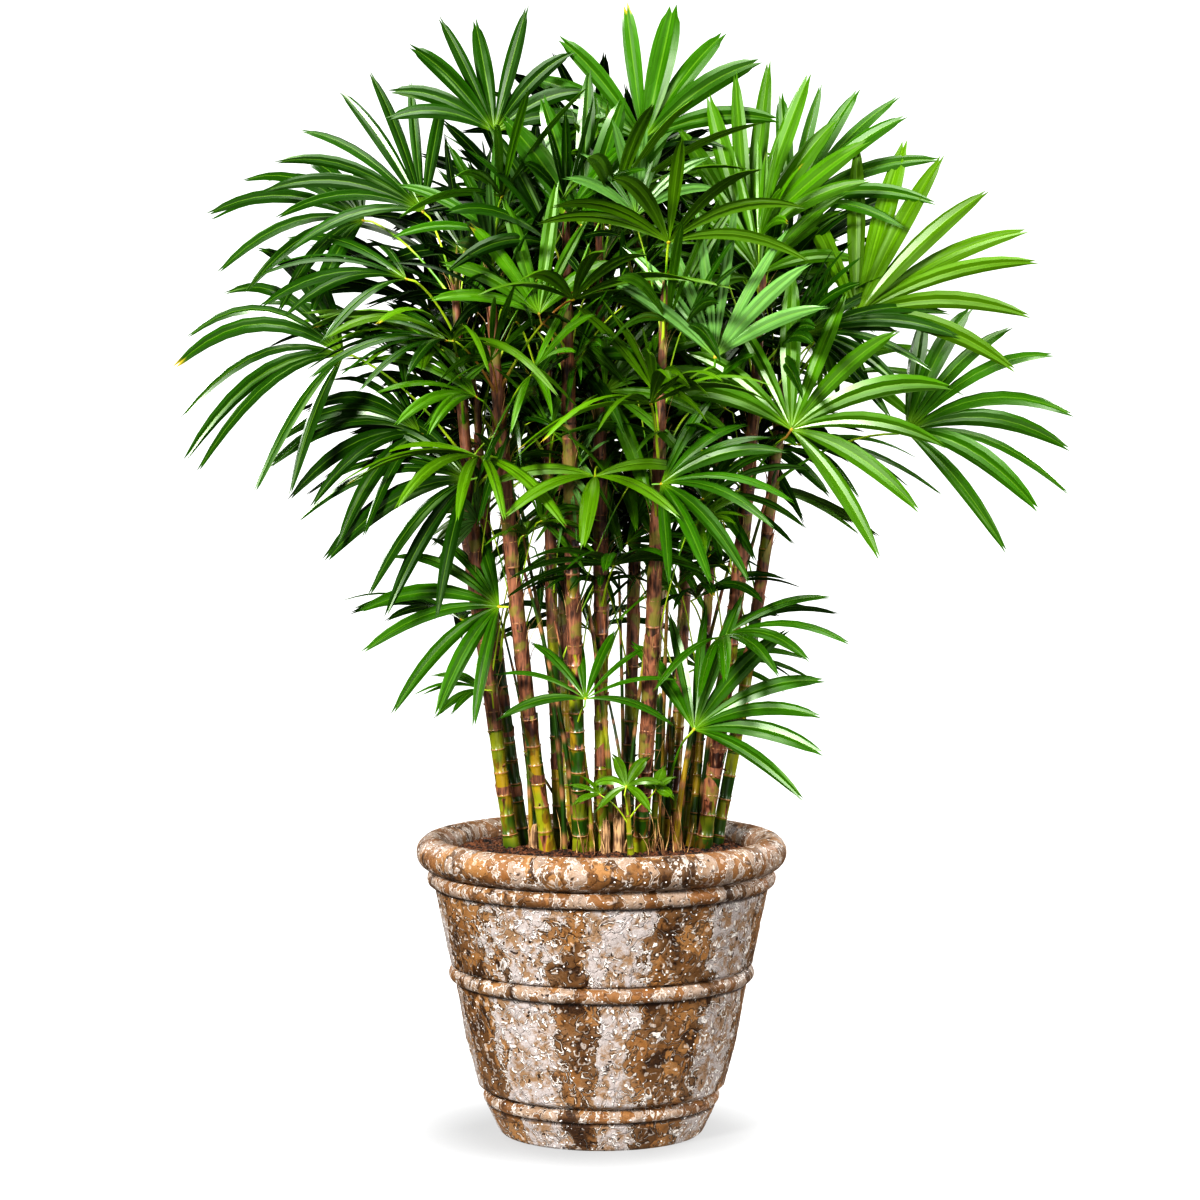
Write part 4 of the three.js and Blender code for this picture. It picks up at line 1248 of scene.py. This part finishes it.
# Thin shoots and dry shreds between the canes
footShape = {
    "seed": 5151, "under": 8,
    "shoots": {
        "number": 20, "centre": (24, 22), "half": (158, 74), "height": (160, 640), "radius": (2.4, 6.2),
        "taper": 0.45, "leanOut": 0.3, "leanSpan": (150, 60), "leanCurve": 1.7,
        "internodes": 8, "scar": 1.12, "hue": 0.2,
        "sides": 8, "grain": 220.0, "relief": 0.4, "crease": 50, "nodes": (18, 19, 20),
    },
    "shreds": {
        "number": 60, "centre": (34, -40), "half": (100, 40), "radius": 1.1,
        "height": (30, 130), "mostlyShort": 1.6,
        "taper": (1.2, 0.35), "lean": (0.05, 0.5), "kink": 12, "stops": 6,
        "sides": 4, "grain": 220.0, "relief": 0.0,
    },
}


# A drawn place on the soil within an ellipse
def drawFoot(kind, draw):
    angle, out = 2 * math.pi * draw(), math.sqrt(draw())
    (x, y), (halfX, halfY) = kind["centre"], kind["half"]
    return Vector((x + halfX * out * math.cos(angle), y + halfY * out * math.sin(angle),
                   soilShape["top"] - footShape["under"]))


def shootStops(kind, draw):
    foot = drawFoot(kind, draw)
    height = mix(*kind["height"], draw())
    radius = mix(*kind["radius"], draw())
    spanX, spanY = kind["leanSpan"]
    leanX = foot.x * kind["leanOut"] + spanX * (draw() - 0.5)
    leanY = foot.y * kind["leanOut"] + spanY * (draw() - 0.5)
    tint = draw()
    stops = []
    for count in range(3 * kind["internodes"] + 1):
        share = count / (3 * kind["internodes"])
        scar = 1.0 if count % 3 == 1 else 0.0
        point = foot + Vector((leanX, leanY, 0)) * share ** kind["leanCurve"] + up * (height * share)
        half = radius * mix(1, kind["taper"], share) * (kind["scar"] if scar else 1)
        stops.append({"point": point, "half": half * metres, "scar": scar, "old": 0.0, "tint": tint})
    return stops


def shredStops(kind, draw):
    foot = drawFoot(kind, draw)
    height = mix(*kind["height"], draw() ** kind["mostlyShort"])
    angle = 2 * math.pi * draw()
    lean = bearing(angle) * (height * mix(*kind["lean"], draw()))
    kink = Vector((draw() - 0.5, draw() - 0.5, 0)) * kind["kink"]
    stops = []
    for count in range(kind["stops"]):
        share = count / (kind["stops"] - 1)
        point = foot + lean * share ** 2 + kink * math.sin(math.pi * share) + up * (height * share)
        stops.append({"point": point, "half": kind["radius"] * mix(*kind["taper"], share) * metres})
    return stops


def makeFoot():
    draw = makeDraw(footShape["seed"])
    shoots, shreds = Guides(), Guides()
    thin, dry = footShape["shoots"], footShape["shreds"]
    for _ in range(thin["number"]):
        shoots.line(shootStops(thin, draw))
    for _ in range(dry["number"]):
        shreds.line(shredStops(dry, draw))
    material = makeMaterial("thinShoot", caneFinish(thin["hue"]))
    shoots.piece("thin_shoots", barkTree, material, barkValues(thin), "cane_bark",
                 [numbered("cane", count) for count in thin["nodes"]], thin["crease"])
    shreds.piece("foot_shreds", barkTree, makeMaterial("shred", fibreFinish), barkValues(dry),
                 "dry_husk", nodesOf("stub", stubs))
    print("shoots:", thin["number"], "shreds:", dry["number"])


makeFoot()


def arc(centre, height, tube, start, end, steps):
    angles = [math.radians(mix(start, end, step / steps)) for step in range(steps + 1)]
    return [(centre + tube * math.cos(angle), height + tube * math.sin(angle)) for angle in angles]


def band(shape):
    return arc(shape["outer"] - shape["tube"], shape["height"], shape["tube"], *potShape["bandArc"])


def potOutline():
    rim, wall, foot = potShape["rim"], potShape["wall"], potShape["footRadius"]
    (low, lowHeight), _, (waist, waistHeight) = potShape["lowerBody"]
    top, topHeight = potShape["upperBody"][-1]
    corners = [(foot, 3), (potShape["skirtRadius"], potShape["skirtHeight"])]
    corners += band(potShape["lowBand"]) + potShape["lowerBody"]
    corners += band(potShape["middleBand"]) + potShape["upperBody"]
    corners += band(potShape["collar"])
    corners += arc(rim["ringRadius"], rim["height"], rim["tube"], *potShape["rimArc"])
    corners += [(top - wall, topHeight), (waist - wall, waistHeight), (low - wall, lowHeight),
                (potShape["skirtRadius"] - wall, potShape["floor"])]
    outline = [(0, 0), (foot * 0.5, 0), (foot - 3, 0)]
    for before, after in zip(corners, corners[1:]):
        steps = max(1, round(math.dist(before, after) / potShape["step"]))
        outline += [(mix(before[0], after[0], count / steps), mix(before[1], after[1], count / steps))
                    for count in range(steps)]
    return outline + [corners[-1], (0, potShape["floor"])]


# Turns an outline that starts and ends on the axis into a closed mesh
def turn(name, outline, segments):
    shape = bmesh.new()
    rings = []
    for radius, height in outline:
        if radius == 0:
            rings.append([shape.verts.new((0, 0, height * metres))] * segments)
            continue
        rings.append([])
        for count in range(segments):
            angle = 2 * math.pi * count / segments
            place = (radius * math.cos(angle), radius * math.sin(angle), height)
            rings[-1].append(shape.verts.new(Vector(place) * metres))
    for low, high in zip(rings, rings[1:]):
        for count in range(segments):
            after = (count + 1) % segments
            corners = [low[count], low[after], high[after], high[count]]
            shape.faces.new(list(dict.fromkeys(corners)))
    bmesh.ops.recalc_face_normals(shape, faces=shape.faces)
    return pieceFrom(shape, name)


# Short curls: parts of rings round scattered points, every ring with a size of its own
def curls(bench, place, scale, thick):
    size = bench.part(bench.cells(place, scale, out="Color"), "X") * 0.3 + 0.18
    return bench.near(bench.cells(place, scale) - size, thick * 0.4, thick)


# Thin lines that follow the levels of a noise, and the painted shadow along both their sides
def contours(bench, place, scale, levels, thick):
    off = abs(bench.maths("FRACT", bench.noise(place, scale, 1.0) * levels) - 0.5)
    line = 1 - bench.step(off, thick * 0.4, thick)
    return line, (1 - bench.step(off, thick, thick * 2.6)) * (1 - line)


# What the crackled crust is at a place: the place bent by it, its lumps, pale ridges that are partly
# painted highlight, and the painted shadow beside them
def crust(bench, place):
    bent = bench.moved(place, bench.scaled(bench.noise(place, 32.0, 3.0, out="Color"), 0.045))
    lumps = bench.noise(place, 30.0, 3.0, 0.55, 0.4)
    broken = bench.noise(bench.moved(place, (1, 2, 3)), 70.0, 1.0)
    line, beside = contours(bench, bent, 30.0, 6.0, 0.1)
    kept = bench.step(broken, 0.5, 0.54)
    curl = curls(bench, bent, 62.0, 0.15) * bench.step(broken, 0.46, 0.42)
    return bent, lumps, bench.most(line * kept, curl), beside * kept


# 1 on the rolled bands and the rim, 0 on the walls between
def bandsOf(bench, height):
    bands = bench.step(height, *(level * metres for level in potShape["rimFrom"]))
    for shape in (potShape[name] for name in potShape["bands"]):
        tube = shape["tube"]
        off = height - shape["height"] * metres
        bands = bench.most(bands, bench.near(off, tube * 0.8 * metres, tube * 1.05 * metres))
    return bands


# 1 in the grooves under the bands, where painted shade goes
def shadeUnderBandsOf(bench, height):
    grooves = None
    for shape in (potShape[name] for name in potShape["bands"]):
        off = height - (shape["height"] - shape["tube"] * 1.1) * metres
        groove = bench.near(off, 0.0008, 0.0045)
        grooves = bench.most(grooves, groove) if grooves else groove
    return grooves


# Pushes a mesh in and out along its normals
def reliefBuild(bench, given):
    place = bench.add("GeometryNodeInputPosition")
    height = bench.part(place, "Z")
    lumps = crust(bench, place)[1]
    fine = bench.noise(place, 85.0, 1.0)
    depth = (lumps - 0.5) * 2.4 + (fine - 0.5) * 1.6
    depth = depth * (1 - bandsOf(bench, height) * 0.55) * bench.step(height, 0.0, 0.012)
    offset = bench.scaled(bench.add("GeometryNodeInputNormal"), depth * given["Relief"])
    return bench.shifted(given["Geometry"], offset)


# The glaze: whitish chalk in runs over plates of brown, with pale ridges, partly painted highlight,
# painted shadow beside them, dark pits and specks
glaze = {
    "brown": paint(137, 96, 52), "umber": paint(96, 67, 37), "dark": paint(56, 35, 17),
    "light": paint(164, 124, 78), "white": paint(177, 168, 164), "worn": paint(144, 116, 88),
    "cream": paint(152, 129, 108), "clay": paint(130, 89, 52), "ridge": paint(232, 224, 216),
    "pitAndShade": paint(42, 22, 6), "speck": paint(255, 253, 250),
    # bearings of the whitish runs, in degrees from the front, with their half widths
    "runs": [(-32, 13), (6, 10), (56, 13), (104, 11), (150, 14), (-160, 11), (-112, 12), (-76, 5)],
    "sway": 34.0,  # how many degrees the runs wander
    "edge": 0.14,  # how much chalk there has to be before it shows
    "plates": 24.0,  # brown plates to the metre
    "wiped": 0.54,  # where the wiped bands turn from brown to cream
}


# How near a place is to the whitish runs down the wall
def runsOf(bench, where):
    x, y = (bench.part(where, axis) for axis in "XY")
    heading = bench.maths("ARCTAN2", x, y * -1.0) * (180 / math.pi)
    sway = bench.noise(bench.stretch(where, 1, 1, 0.45), 13.0, 4.0, 0.6) - 0.5
    runs = None
    for middle, half in glaze["runs"]:
        off = bench.maths("WRAP", heading + sway * glaze["sway"] - middle, 180.0, -180.0)
        run = bench.near(off, 0.0, half * 1.5)
        runs = bench.most(runs, run) if runs else run
    return runs


# Plates of brown, each with a tone of its own and a dark seam round it
def brownPlates(bench, bent, blotch, swirl, crumble):
    own = bench.part(bench.cells(bent, glaze["plates"], out="Color"), "X")
    brown = bench.blend(bench.step(blotch * 0.7 + own * 0.3, 0.36, 0.6), glaze["umber"], glaze["brown"])
    brown = bench.blend(bench.step(own + (crumble - 0.5), 0.62, 0.9) * 0.6, brown, glaze["light"])
    brown = bench.blend(bench.step(blotch + (swirl - 0.5) * 1.1, 0.41, 0.31), brown, glaze["dark"])
    seam = 1 - bench.step(bench.cells(bent, glaze["plates"], "DISTANCE_TO_EDGE"), 0.012, 0.05)
    return bench.blend(seam * bench.step(crumble, 0.42, 0.54) * 0.75, brown, glaze["pitAndShade"]), seam


def potFinish(bench, where):
    height = bench.part(where, "Z")
    bands = bandsOf(bench, height)
    walls = 1 - bands
    bent, lumps, ridge, beside = crust(bench, where)
    blotch = bench.noise(bench.stretch(where, 1, 1, 0.7), 13.0, 3.0, 0.6, 0.2)
    swirl = bench.noise(bent, 36.0, 4.0, 0.6)
    crumble = bench.noise(where, 80.0, 3.0, 0.6, 0.6)
    grain = bench.noise(where, 520.0, 1.0)
    brown, seam = brownPlates(bench, bent, blotch, swirl, crumble)

    # chalk lies on the runs and in ragged patches beside them, thin and worn along its edge
    edge = glaze["edge"]
    field = runsOf(bench, where) * 0.43 + (swirl - 0.5) * 0.8 + (blotch - 0.5) * 0.45
    worn = bench.step(field, -0.02, edge)
    white = bench.step(field, edge - 0.01, edge + 0.02)
    # a pale lip along the chalk's edge, partly painted highlight, and painted shade just outside it
    lip = bench.near(field - edge, 0.006, 0.016) * bench.step(crumble, 0.44, 0.5)
    ditchAndPaintedShade = bench.near(field - (edge - 0.035), 0.008, 0.022) * bench.step(crumble, 0.46, 0.54)

    # the bands and the rim are wiped across, brown and cream by turns
    slant = bench.moved(bench.stretch(where, 1, 1, 0.25), bench.scaled(bent, 0.35))
    wipe = bench.noise(slant, 32.0, 2.0, 0.5)
    ragged = wipe + (crumble - 0.5) * 0.24
    lip = lip * walls + bench.near(ragged - glaze["wiped"], 0.006, 0.018) * bands
    white = white * walls + bench.step(ragged, glaze["wiped"], glaze["wiped"] + 0.04) * bands
    worn = worn * walls + bench.step(wipe, 0.4, 0.5) * bands * 0.4
    chalk = bench.blend(bench.step(crumble * 0.5 + lumps * 0.5, 0.42, 0.56), glaze["worn"], glaze["white"])
    chalk = bench.blend(bands * 0.75, chalk, glaze["cream"])
    brown = bench.blend(bands * bench.step(blotch, 0.4, 0.58) * 0.7, brown, glaze["clay"])

    # small dark pits, mostly in the chalk, and white specks, mostly on the brown, which are partly painted
    # glints
    hollow = bench.cells(bench.stretch(bent, 1, 1, 0.7), 88.0)
    pits = (1 - bench.step(hollow, 0.16, 0.24)) * bench.step(swirl * 0.5 + lumps * 0.5, 0.53, 0.47)
    dots = bench.cells(bench.moved(where, (2, 3, 4)), 100.0)
    specks = (1 - bench.step(dots, 0.13, 0.18)) * bench.step(bench.noise(where, 40.0), 0.46, 0.5)
    # painted shadow beside the ridges and the lip, and the pale ridges, partly painted highlight
    ditchAndPaintedShade = bench.most(beside * (0.75 - white * 0.35), ditchAndPaintedShade * 0.7) * (1 - bands * 0.5)
    ridge = bench.most(ridge * (0.35 + worn * 0.65), lip) * (1 - bands * 0.3)

    colour = bench.blend(worn * 0.6, brown, glaze["worn"])
    colour = bench.blend(white, colour, chalk)
    layers = [
        (bench.step(grain, 0.44, 0.6) * 0.26, "umber"), (ditchAndPaintedShade, "pitAndShade"), (ridge * 0.9, "ridge"),
        (pits * (0.4 + white * 0.5), "pitAndShade"), (shadeUnderBandsOf(bench, height) * 0.7, "pitAndShade"), (specks, "speck"),
    ]
    for share, name in layers:
        colour = bench.blend(share, colour, glaze[name])
    crest = ridge * 0.8 - ditchAndPaintedShade * 0.5 - pits * 0.5 + specks * 0.6 + white * 0.35 - seam * 0.25
    relief = crest * (1 - bands * 0.5) + crumble * 0.35 + lumps * 0.4 + grain * 0.1
    return {
        "Base Color": colour,
        "Roughness": 0.5 + grain * 0.2 - specks * 0.3 - ridge * 0.15,
        "Coat Weight": bench.step(crumble, 0.4, 0.6) * 0.1,
        "Normal": bench.bump(relief, 0.9, 0.004),
    }


def makePot():
    piece = turn("pot_clay", potOutline(), potShape["segments"])
    material = makeMaterial("weatheredGlaze", potFinish, {"Coat Roughness": 0.2, "Specular IOR Level": 0.28})
    tree = makeTree("roughen", {"Relief": "Float"}, reliefBuild)
    runTree(piece, tree, material, {"Relief": potShape["relief"] * metres})
    settle(piece, ["pot"])
    print("pot:", len(piece.data.polygons), "faces")


makePot()


def soilFinish(bench, where):
    clod = bench.noise(where, 90.0, 4.0, 0.6)
    grain = bench.noise(where, 420.0, 2.0)
    colour = bench.blend(bench.step(clod, 0.4, 0.62), soilShape["dark"], soilShape["light"])
    return {"Base Color": colour, "Roughness": grain * 0.2 + 0.75,
            "Normal": bench.bump(clod + grain * 0.4, 0.8, 0.003)}


# Heaves the surface, then strews crumbs over it
def soilBuild(bench, given):
    def drawn(low, high, seed):
        sockets = {"Min": (low,) * 3, "Max": (high,) * 3, "Seed": seed}
        return bench.add("FunctionNodeRandomValue", {"data_type": "FLOAT_VECTOR"}, sockets, "Value")

    place = bench.add("GeometryNodeInputPosition")
    top = bench.part(place, "Z") > (soilShape["top"] - soilShape["heaved"]) * metres
    swell = (bench.noise(place, 22.0, 4.0, 0.6) - 0.5) * given["Heave"] * top
    mesh = bench.shifted(given["Geometry"], bench.add("ShaderNodeCombineXYZ", None, {"Z": swell}))
    sockets = {"Mesh": mesh, "Selection": top, "Density": given["Crumbs"], "Seed": soilShape["seed"]}
    points = bench.add("GeometryNodeDistributePointsOnFaces", None, sockets)
    ball = bench.add("GeometryNodeMeshIcoSphere", None, {"Radius": 1.0, "Subdivisions": 1})
    size = drawn(soilShape["smallest"] * metres, soilShape["largest"] * metres, 3)
    spin = bench.add("FunctionNodeEulerToRotation", None, {"Euler": drawn(0, 6.3, 4)})
    sockets = {"Points": points, "Instance": ball, "Rotation": spin, "Scale": size}
    crumbs = bench.add("GeometryNodeInstanceOnPoints", None, sockets)
    return bench.add("GeometryNodeJoinGeometry", None, {"Geometry": [mesh, crumbs]})


# A cake of soil: its underside, its side, the slope at the wall and the flat part in rings
def soilOutline():
    rim, flat, rings = potShape["rim"], soilShape["flatRadius"], soilShape["rings"]
    wall = rim["ringRadius"] - rim["tube"] - soilShape["gap"]
    top, edge, bottom = (soilShape["top"] - drop for drop in (0, soilShape["edgeDrop"], soilShape["depth"]))
    outline = [(0, bottom), (wall - 6, bottom), (wall, edge - 2)]
    outline += [(mix(wall, flat, count / 4), mix(edge, top, count / 4)) for count in range(5)]
    return outline + [(flat * (1 - count / rings), top) for count in range(1, rings)] + [(0, top)]


def makeSoil():
    piece = turn("soil_mix", soilOutline(), soilShape["segments"])
    tree = makeTree("strewSoil", {"Heave": "Float", "Crumbs": "Float"}, soilBuild)
    values = {"Heave": soilShape["heave"] * 2 * metres, "Crumbs": float(soilShape["crumbsPerSquareMetre"])}
    runTree(piece, tree, makeMaterial("soil", soilFinish), values)
    settle(piece, ["soil"])
    print("soil:", len(piece.data.polygons), "faces")


makeSoil()


stubShape = {
    "shreds": 9, "seed": 1207, "lean": 5, "under": 8, "coreLean": (2, -2), "coreHeight": 0.9,
    "sides": 6, "grain": 200.0, "relief": 1.6, "crease": 50,
    # place along the core, and share of the stub's radius there
    "core": [(0, 1.2), (0.3, 1.0), (0.62, 1.04), (0.86, 0.8), (1.0, 0.45)],
    "tall": (0.55, 1.0), "inward": (1.0, 0.75), "shredRadius": (2.6, 0.7), "stops": 5,
    "brown": paint(92, 62, 38), "straw": paint(196, 160, 118),
}


def stubFinish(bench, where):
    grain = bench.noise(bench.stretch(where, 1, 1, 0.12), 300.0, 3.0)
    broad = bench.noise(where, 40.0, 2.0)
    worn = bench.step(grain * 0.6 + broad * 0.4, 0.38, 0.6)
    return {"Base Color": bench.blend(worn, stubShape["brown"], stubShape["straw"]),
            "Roughness": broad * 0.2 + 0.65, "Normal": bench.bump(grain, 0.7, 0.001)}


# A frayed end of an old cane: a core, and shreds that stand round it
def stubGuides(stub, draw):
    guides = Guides()
    under = stubShape["under"]
    foot = Vector((*stub["foot"], soilShape["top"] - under))
    leanX, leanY = stubShape["coreLean"]
    core = []
    for share, wide in stubShape["core"]:
        height = (stub["height"] + under) * share * stubShape["coreHeight"]
        point = foot + Vector((leanX * share, leanY * share, height))
        core.append({"point": point, "half": stub["radius"] * wide * metres})
    guides.line(core)
    for _ in range(stubShape["shreds"]):
        outward = bearing(2 * math.pi * draw())
        tall = stub["height"] * mix(*stubShape["tall"], draw()) + under
        lean = stubShape["lean"] * draw()
        shred = []
        for step in range(stubShape["stops"]):
            share = step / (stubShape["stops"] - 1)
            off = stub["radius"] * mix(*stubShape["inward"], share) + lean * share * share
            shred.append({"point": foot + outward * off + up * (tall * share),
                          "half": mix(*stubShape["shredRadius"], share) * metres})
        guides.line(shred)
    return guides


def makeStubs():
    draw = makeDraw(stubShape["seed"])
    material = makeMaterial("dryHusk", stubFinish)
    for count, stub in enumerate(stubs):
        guides = stubGuides(stub, draw)
        guides.piece(numbered("stub_husk", count + 1), barkTree, material, barkValues(stubShape),
                     "dry_husk", [numbered("stub", count + 1)], stubShape["crease"])
    print("stubs:", len(stubs))


makeStubs()


# The floor, the lights and the camera
studio = {
    "floorRadius": 0.6, "floorColour": 0.07, "floorGlow": 0.77, "floorRough": 0.9,
    "floorFade": (0.3, 0.95),  # where the floor fades into the backdrop, as shares of its radius
    # how dark it gets beside the foot, how far out, and where the middle of that shade is
    "footShade": 0.42, "footShadeReach": 0.38, "footShadeMiddle": (-0.035, -0.01, 0),
    "skyLight": 0.05, "backdrop": 1.0, "look": "High Contrast", "aim": (0, 0, 0.95),
    "lights": {
        "key": {"place": (-2.4, -4.0, 2.8), "size": 1.1, "power": 400},
        "fill": {"place": (2.8, -3.9, 2.2), "size": 1.5, "power": 100},
        "bounce": {"place": (0.2, -3.0, 0.15), "size": 2.4, "power": 14},
        "top": {"place": (0.2, -0.6, 4.4), "size": 3.0, "power": 160},
        "sideLeft": {"place": (-4.2, 0.5, 1.8), "size": 2.4, "power": 54},
        "sideRight": {"place": (4.2, 0.2, 1.8), "size": 2.4, "power": 100},
        "backLeft": {"place": (-2.8, 3.6, 2.6), "size": 2.0, "power": 110},
        "backRight": {"place": (2.8, 3.6, 2.4), "size": 2.0, "power": 110},
    },
}
camera = {"place": (-0.0024, -5.35, 1.19), "tilt": 86.3, "lens": 101.94, "sensor": 36}


# A pale floor that glows softly, with a shade round the foot
def floorFinish(bench, where):
    foot = potShape["footRadius"] * metres
    beside = bench.vector("DISTANCE", where, studio["footShadeMiddle"], out="Value")
    shade = (1 - bench.step(beside, foot * 0.8, foot + studio["footShadeReach"])) * studio["footShade"]
    far = bench.vector("LENGTH", where, out="Value")
    start, end = (studio["floorRadius"] * share for share in studio["floorFade"])
    return {
        "Base Color": bench.blend(shade, grey(studio["floorColour"]), grey(0.0)),
        "Emission Color": bench.blend(shade, grey(1.0), grey(0.0)),
        "Alpha": 1 - bench.step(far, start, end),
    }


def makeFloor():
    bpy.ops.mesh.primitive_circle_add(vertices=96, radius=studio["floorRadius"], fill_type="NGON")
    floor = bpy.context.object
    floor.name = "floor"
    fixed = {"Roughness": studio["floorRough"], "Emission Strength": studio["floorGlow"]}
    floor.data.materials.append(makeMaterial("floor", floorFinish, fixed))


def makeLight(name, light):
    data = bpy.data.lights.new(name, "AREA")
    data.shape = "DISK"
    data.size = light["size"]
    data.energy = light["power"]
    lamp = addObject(name, data)
    lamp.location = light["place"]
    lamp.rotation_mode = "QUATERNION"
    lamp.rotation_quaternion = (Vector(studio["aim"]) - Vector(light["place"])).to_track_quat("-Z", "Y")


# The backdrop is bright to the camera, and lights the piece only a little
def makeSky():
    world = bpy.data.worlds.new("studio")
    world.use_nodes = True
    bpy.context.scene.world = world
    bench = Bench(world.node_tree)
    seen = bench.add("ShaderNodeLightPath", None, None, "Is Camera Ray")
    strength = seen * (studio["backdrop"] - studio["skyLight"]) + studio["skyLight"]
    shade = world.node_tree.nodes["Background"]
    shade.inputs["Color"].default_value = grey(1.0)
    world.node_tree.links.new(strength.socket, shade.inputs["Strength"])


def makeCamera():
    data = bpy.data.cameras.new("camera")
    data.lens = camera["lens"]
    data.sensor_width = camera["sensor"]
    viewer = addObject("camera", data)
    viewer.location = camera["place"]
    viewer.rotation_euler = (math.radians(camera["tilt"]), 0, 0)
    bpy.context.scene.camera = viewer


makeFloor()
for name, light in studio["lights"].items():
    makeLight(name, light)
makeSky()
makeCamera()
bpy.context.scene.view_settings.view_transform = "Standard"
bpy.context.scene.view_settings.look = studio["look"]
print("stage and camera ready")
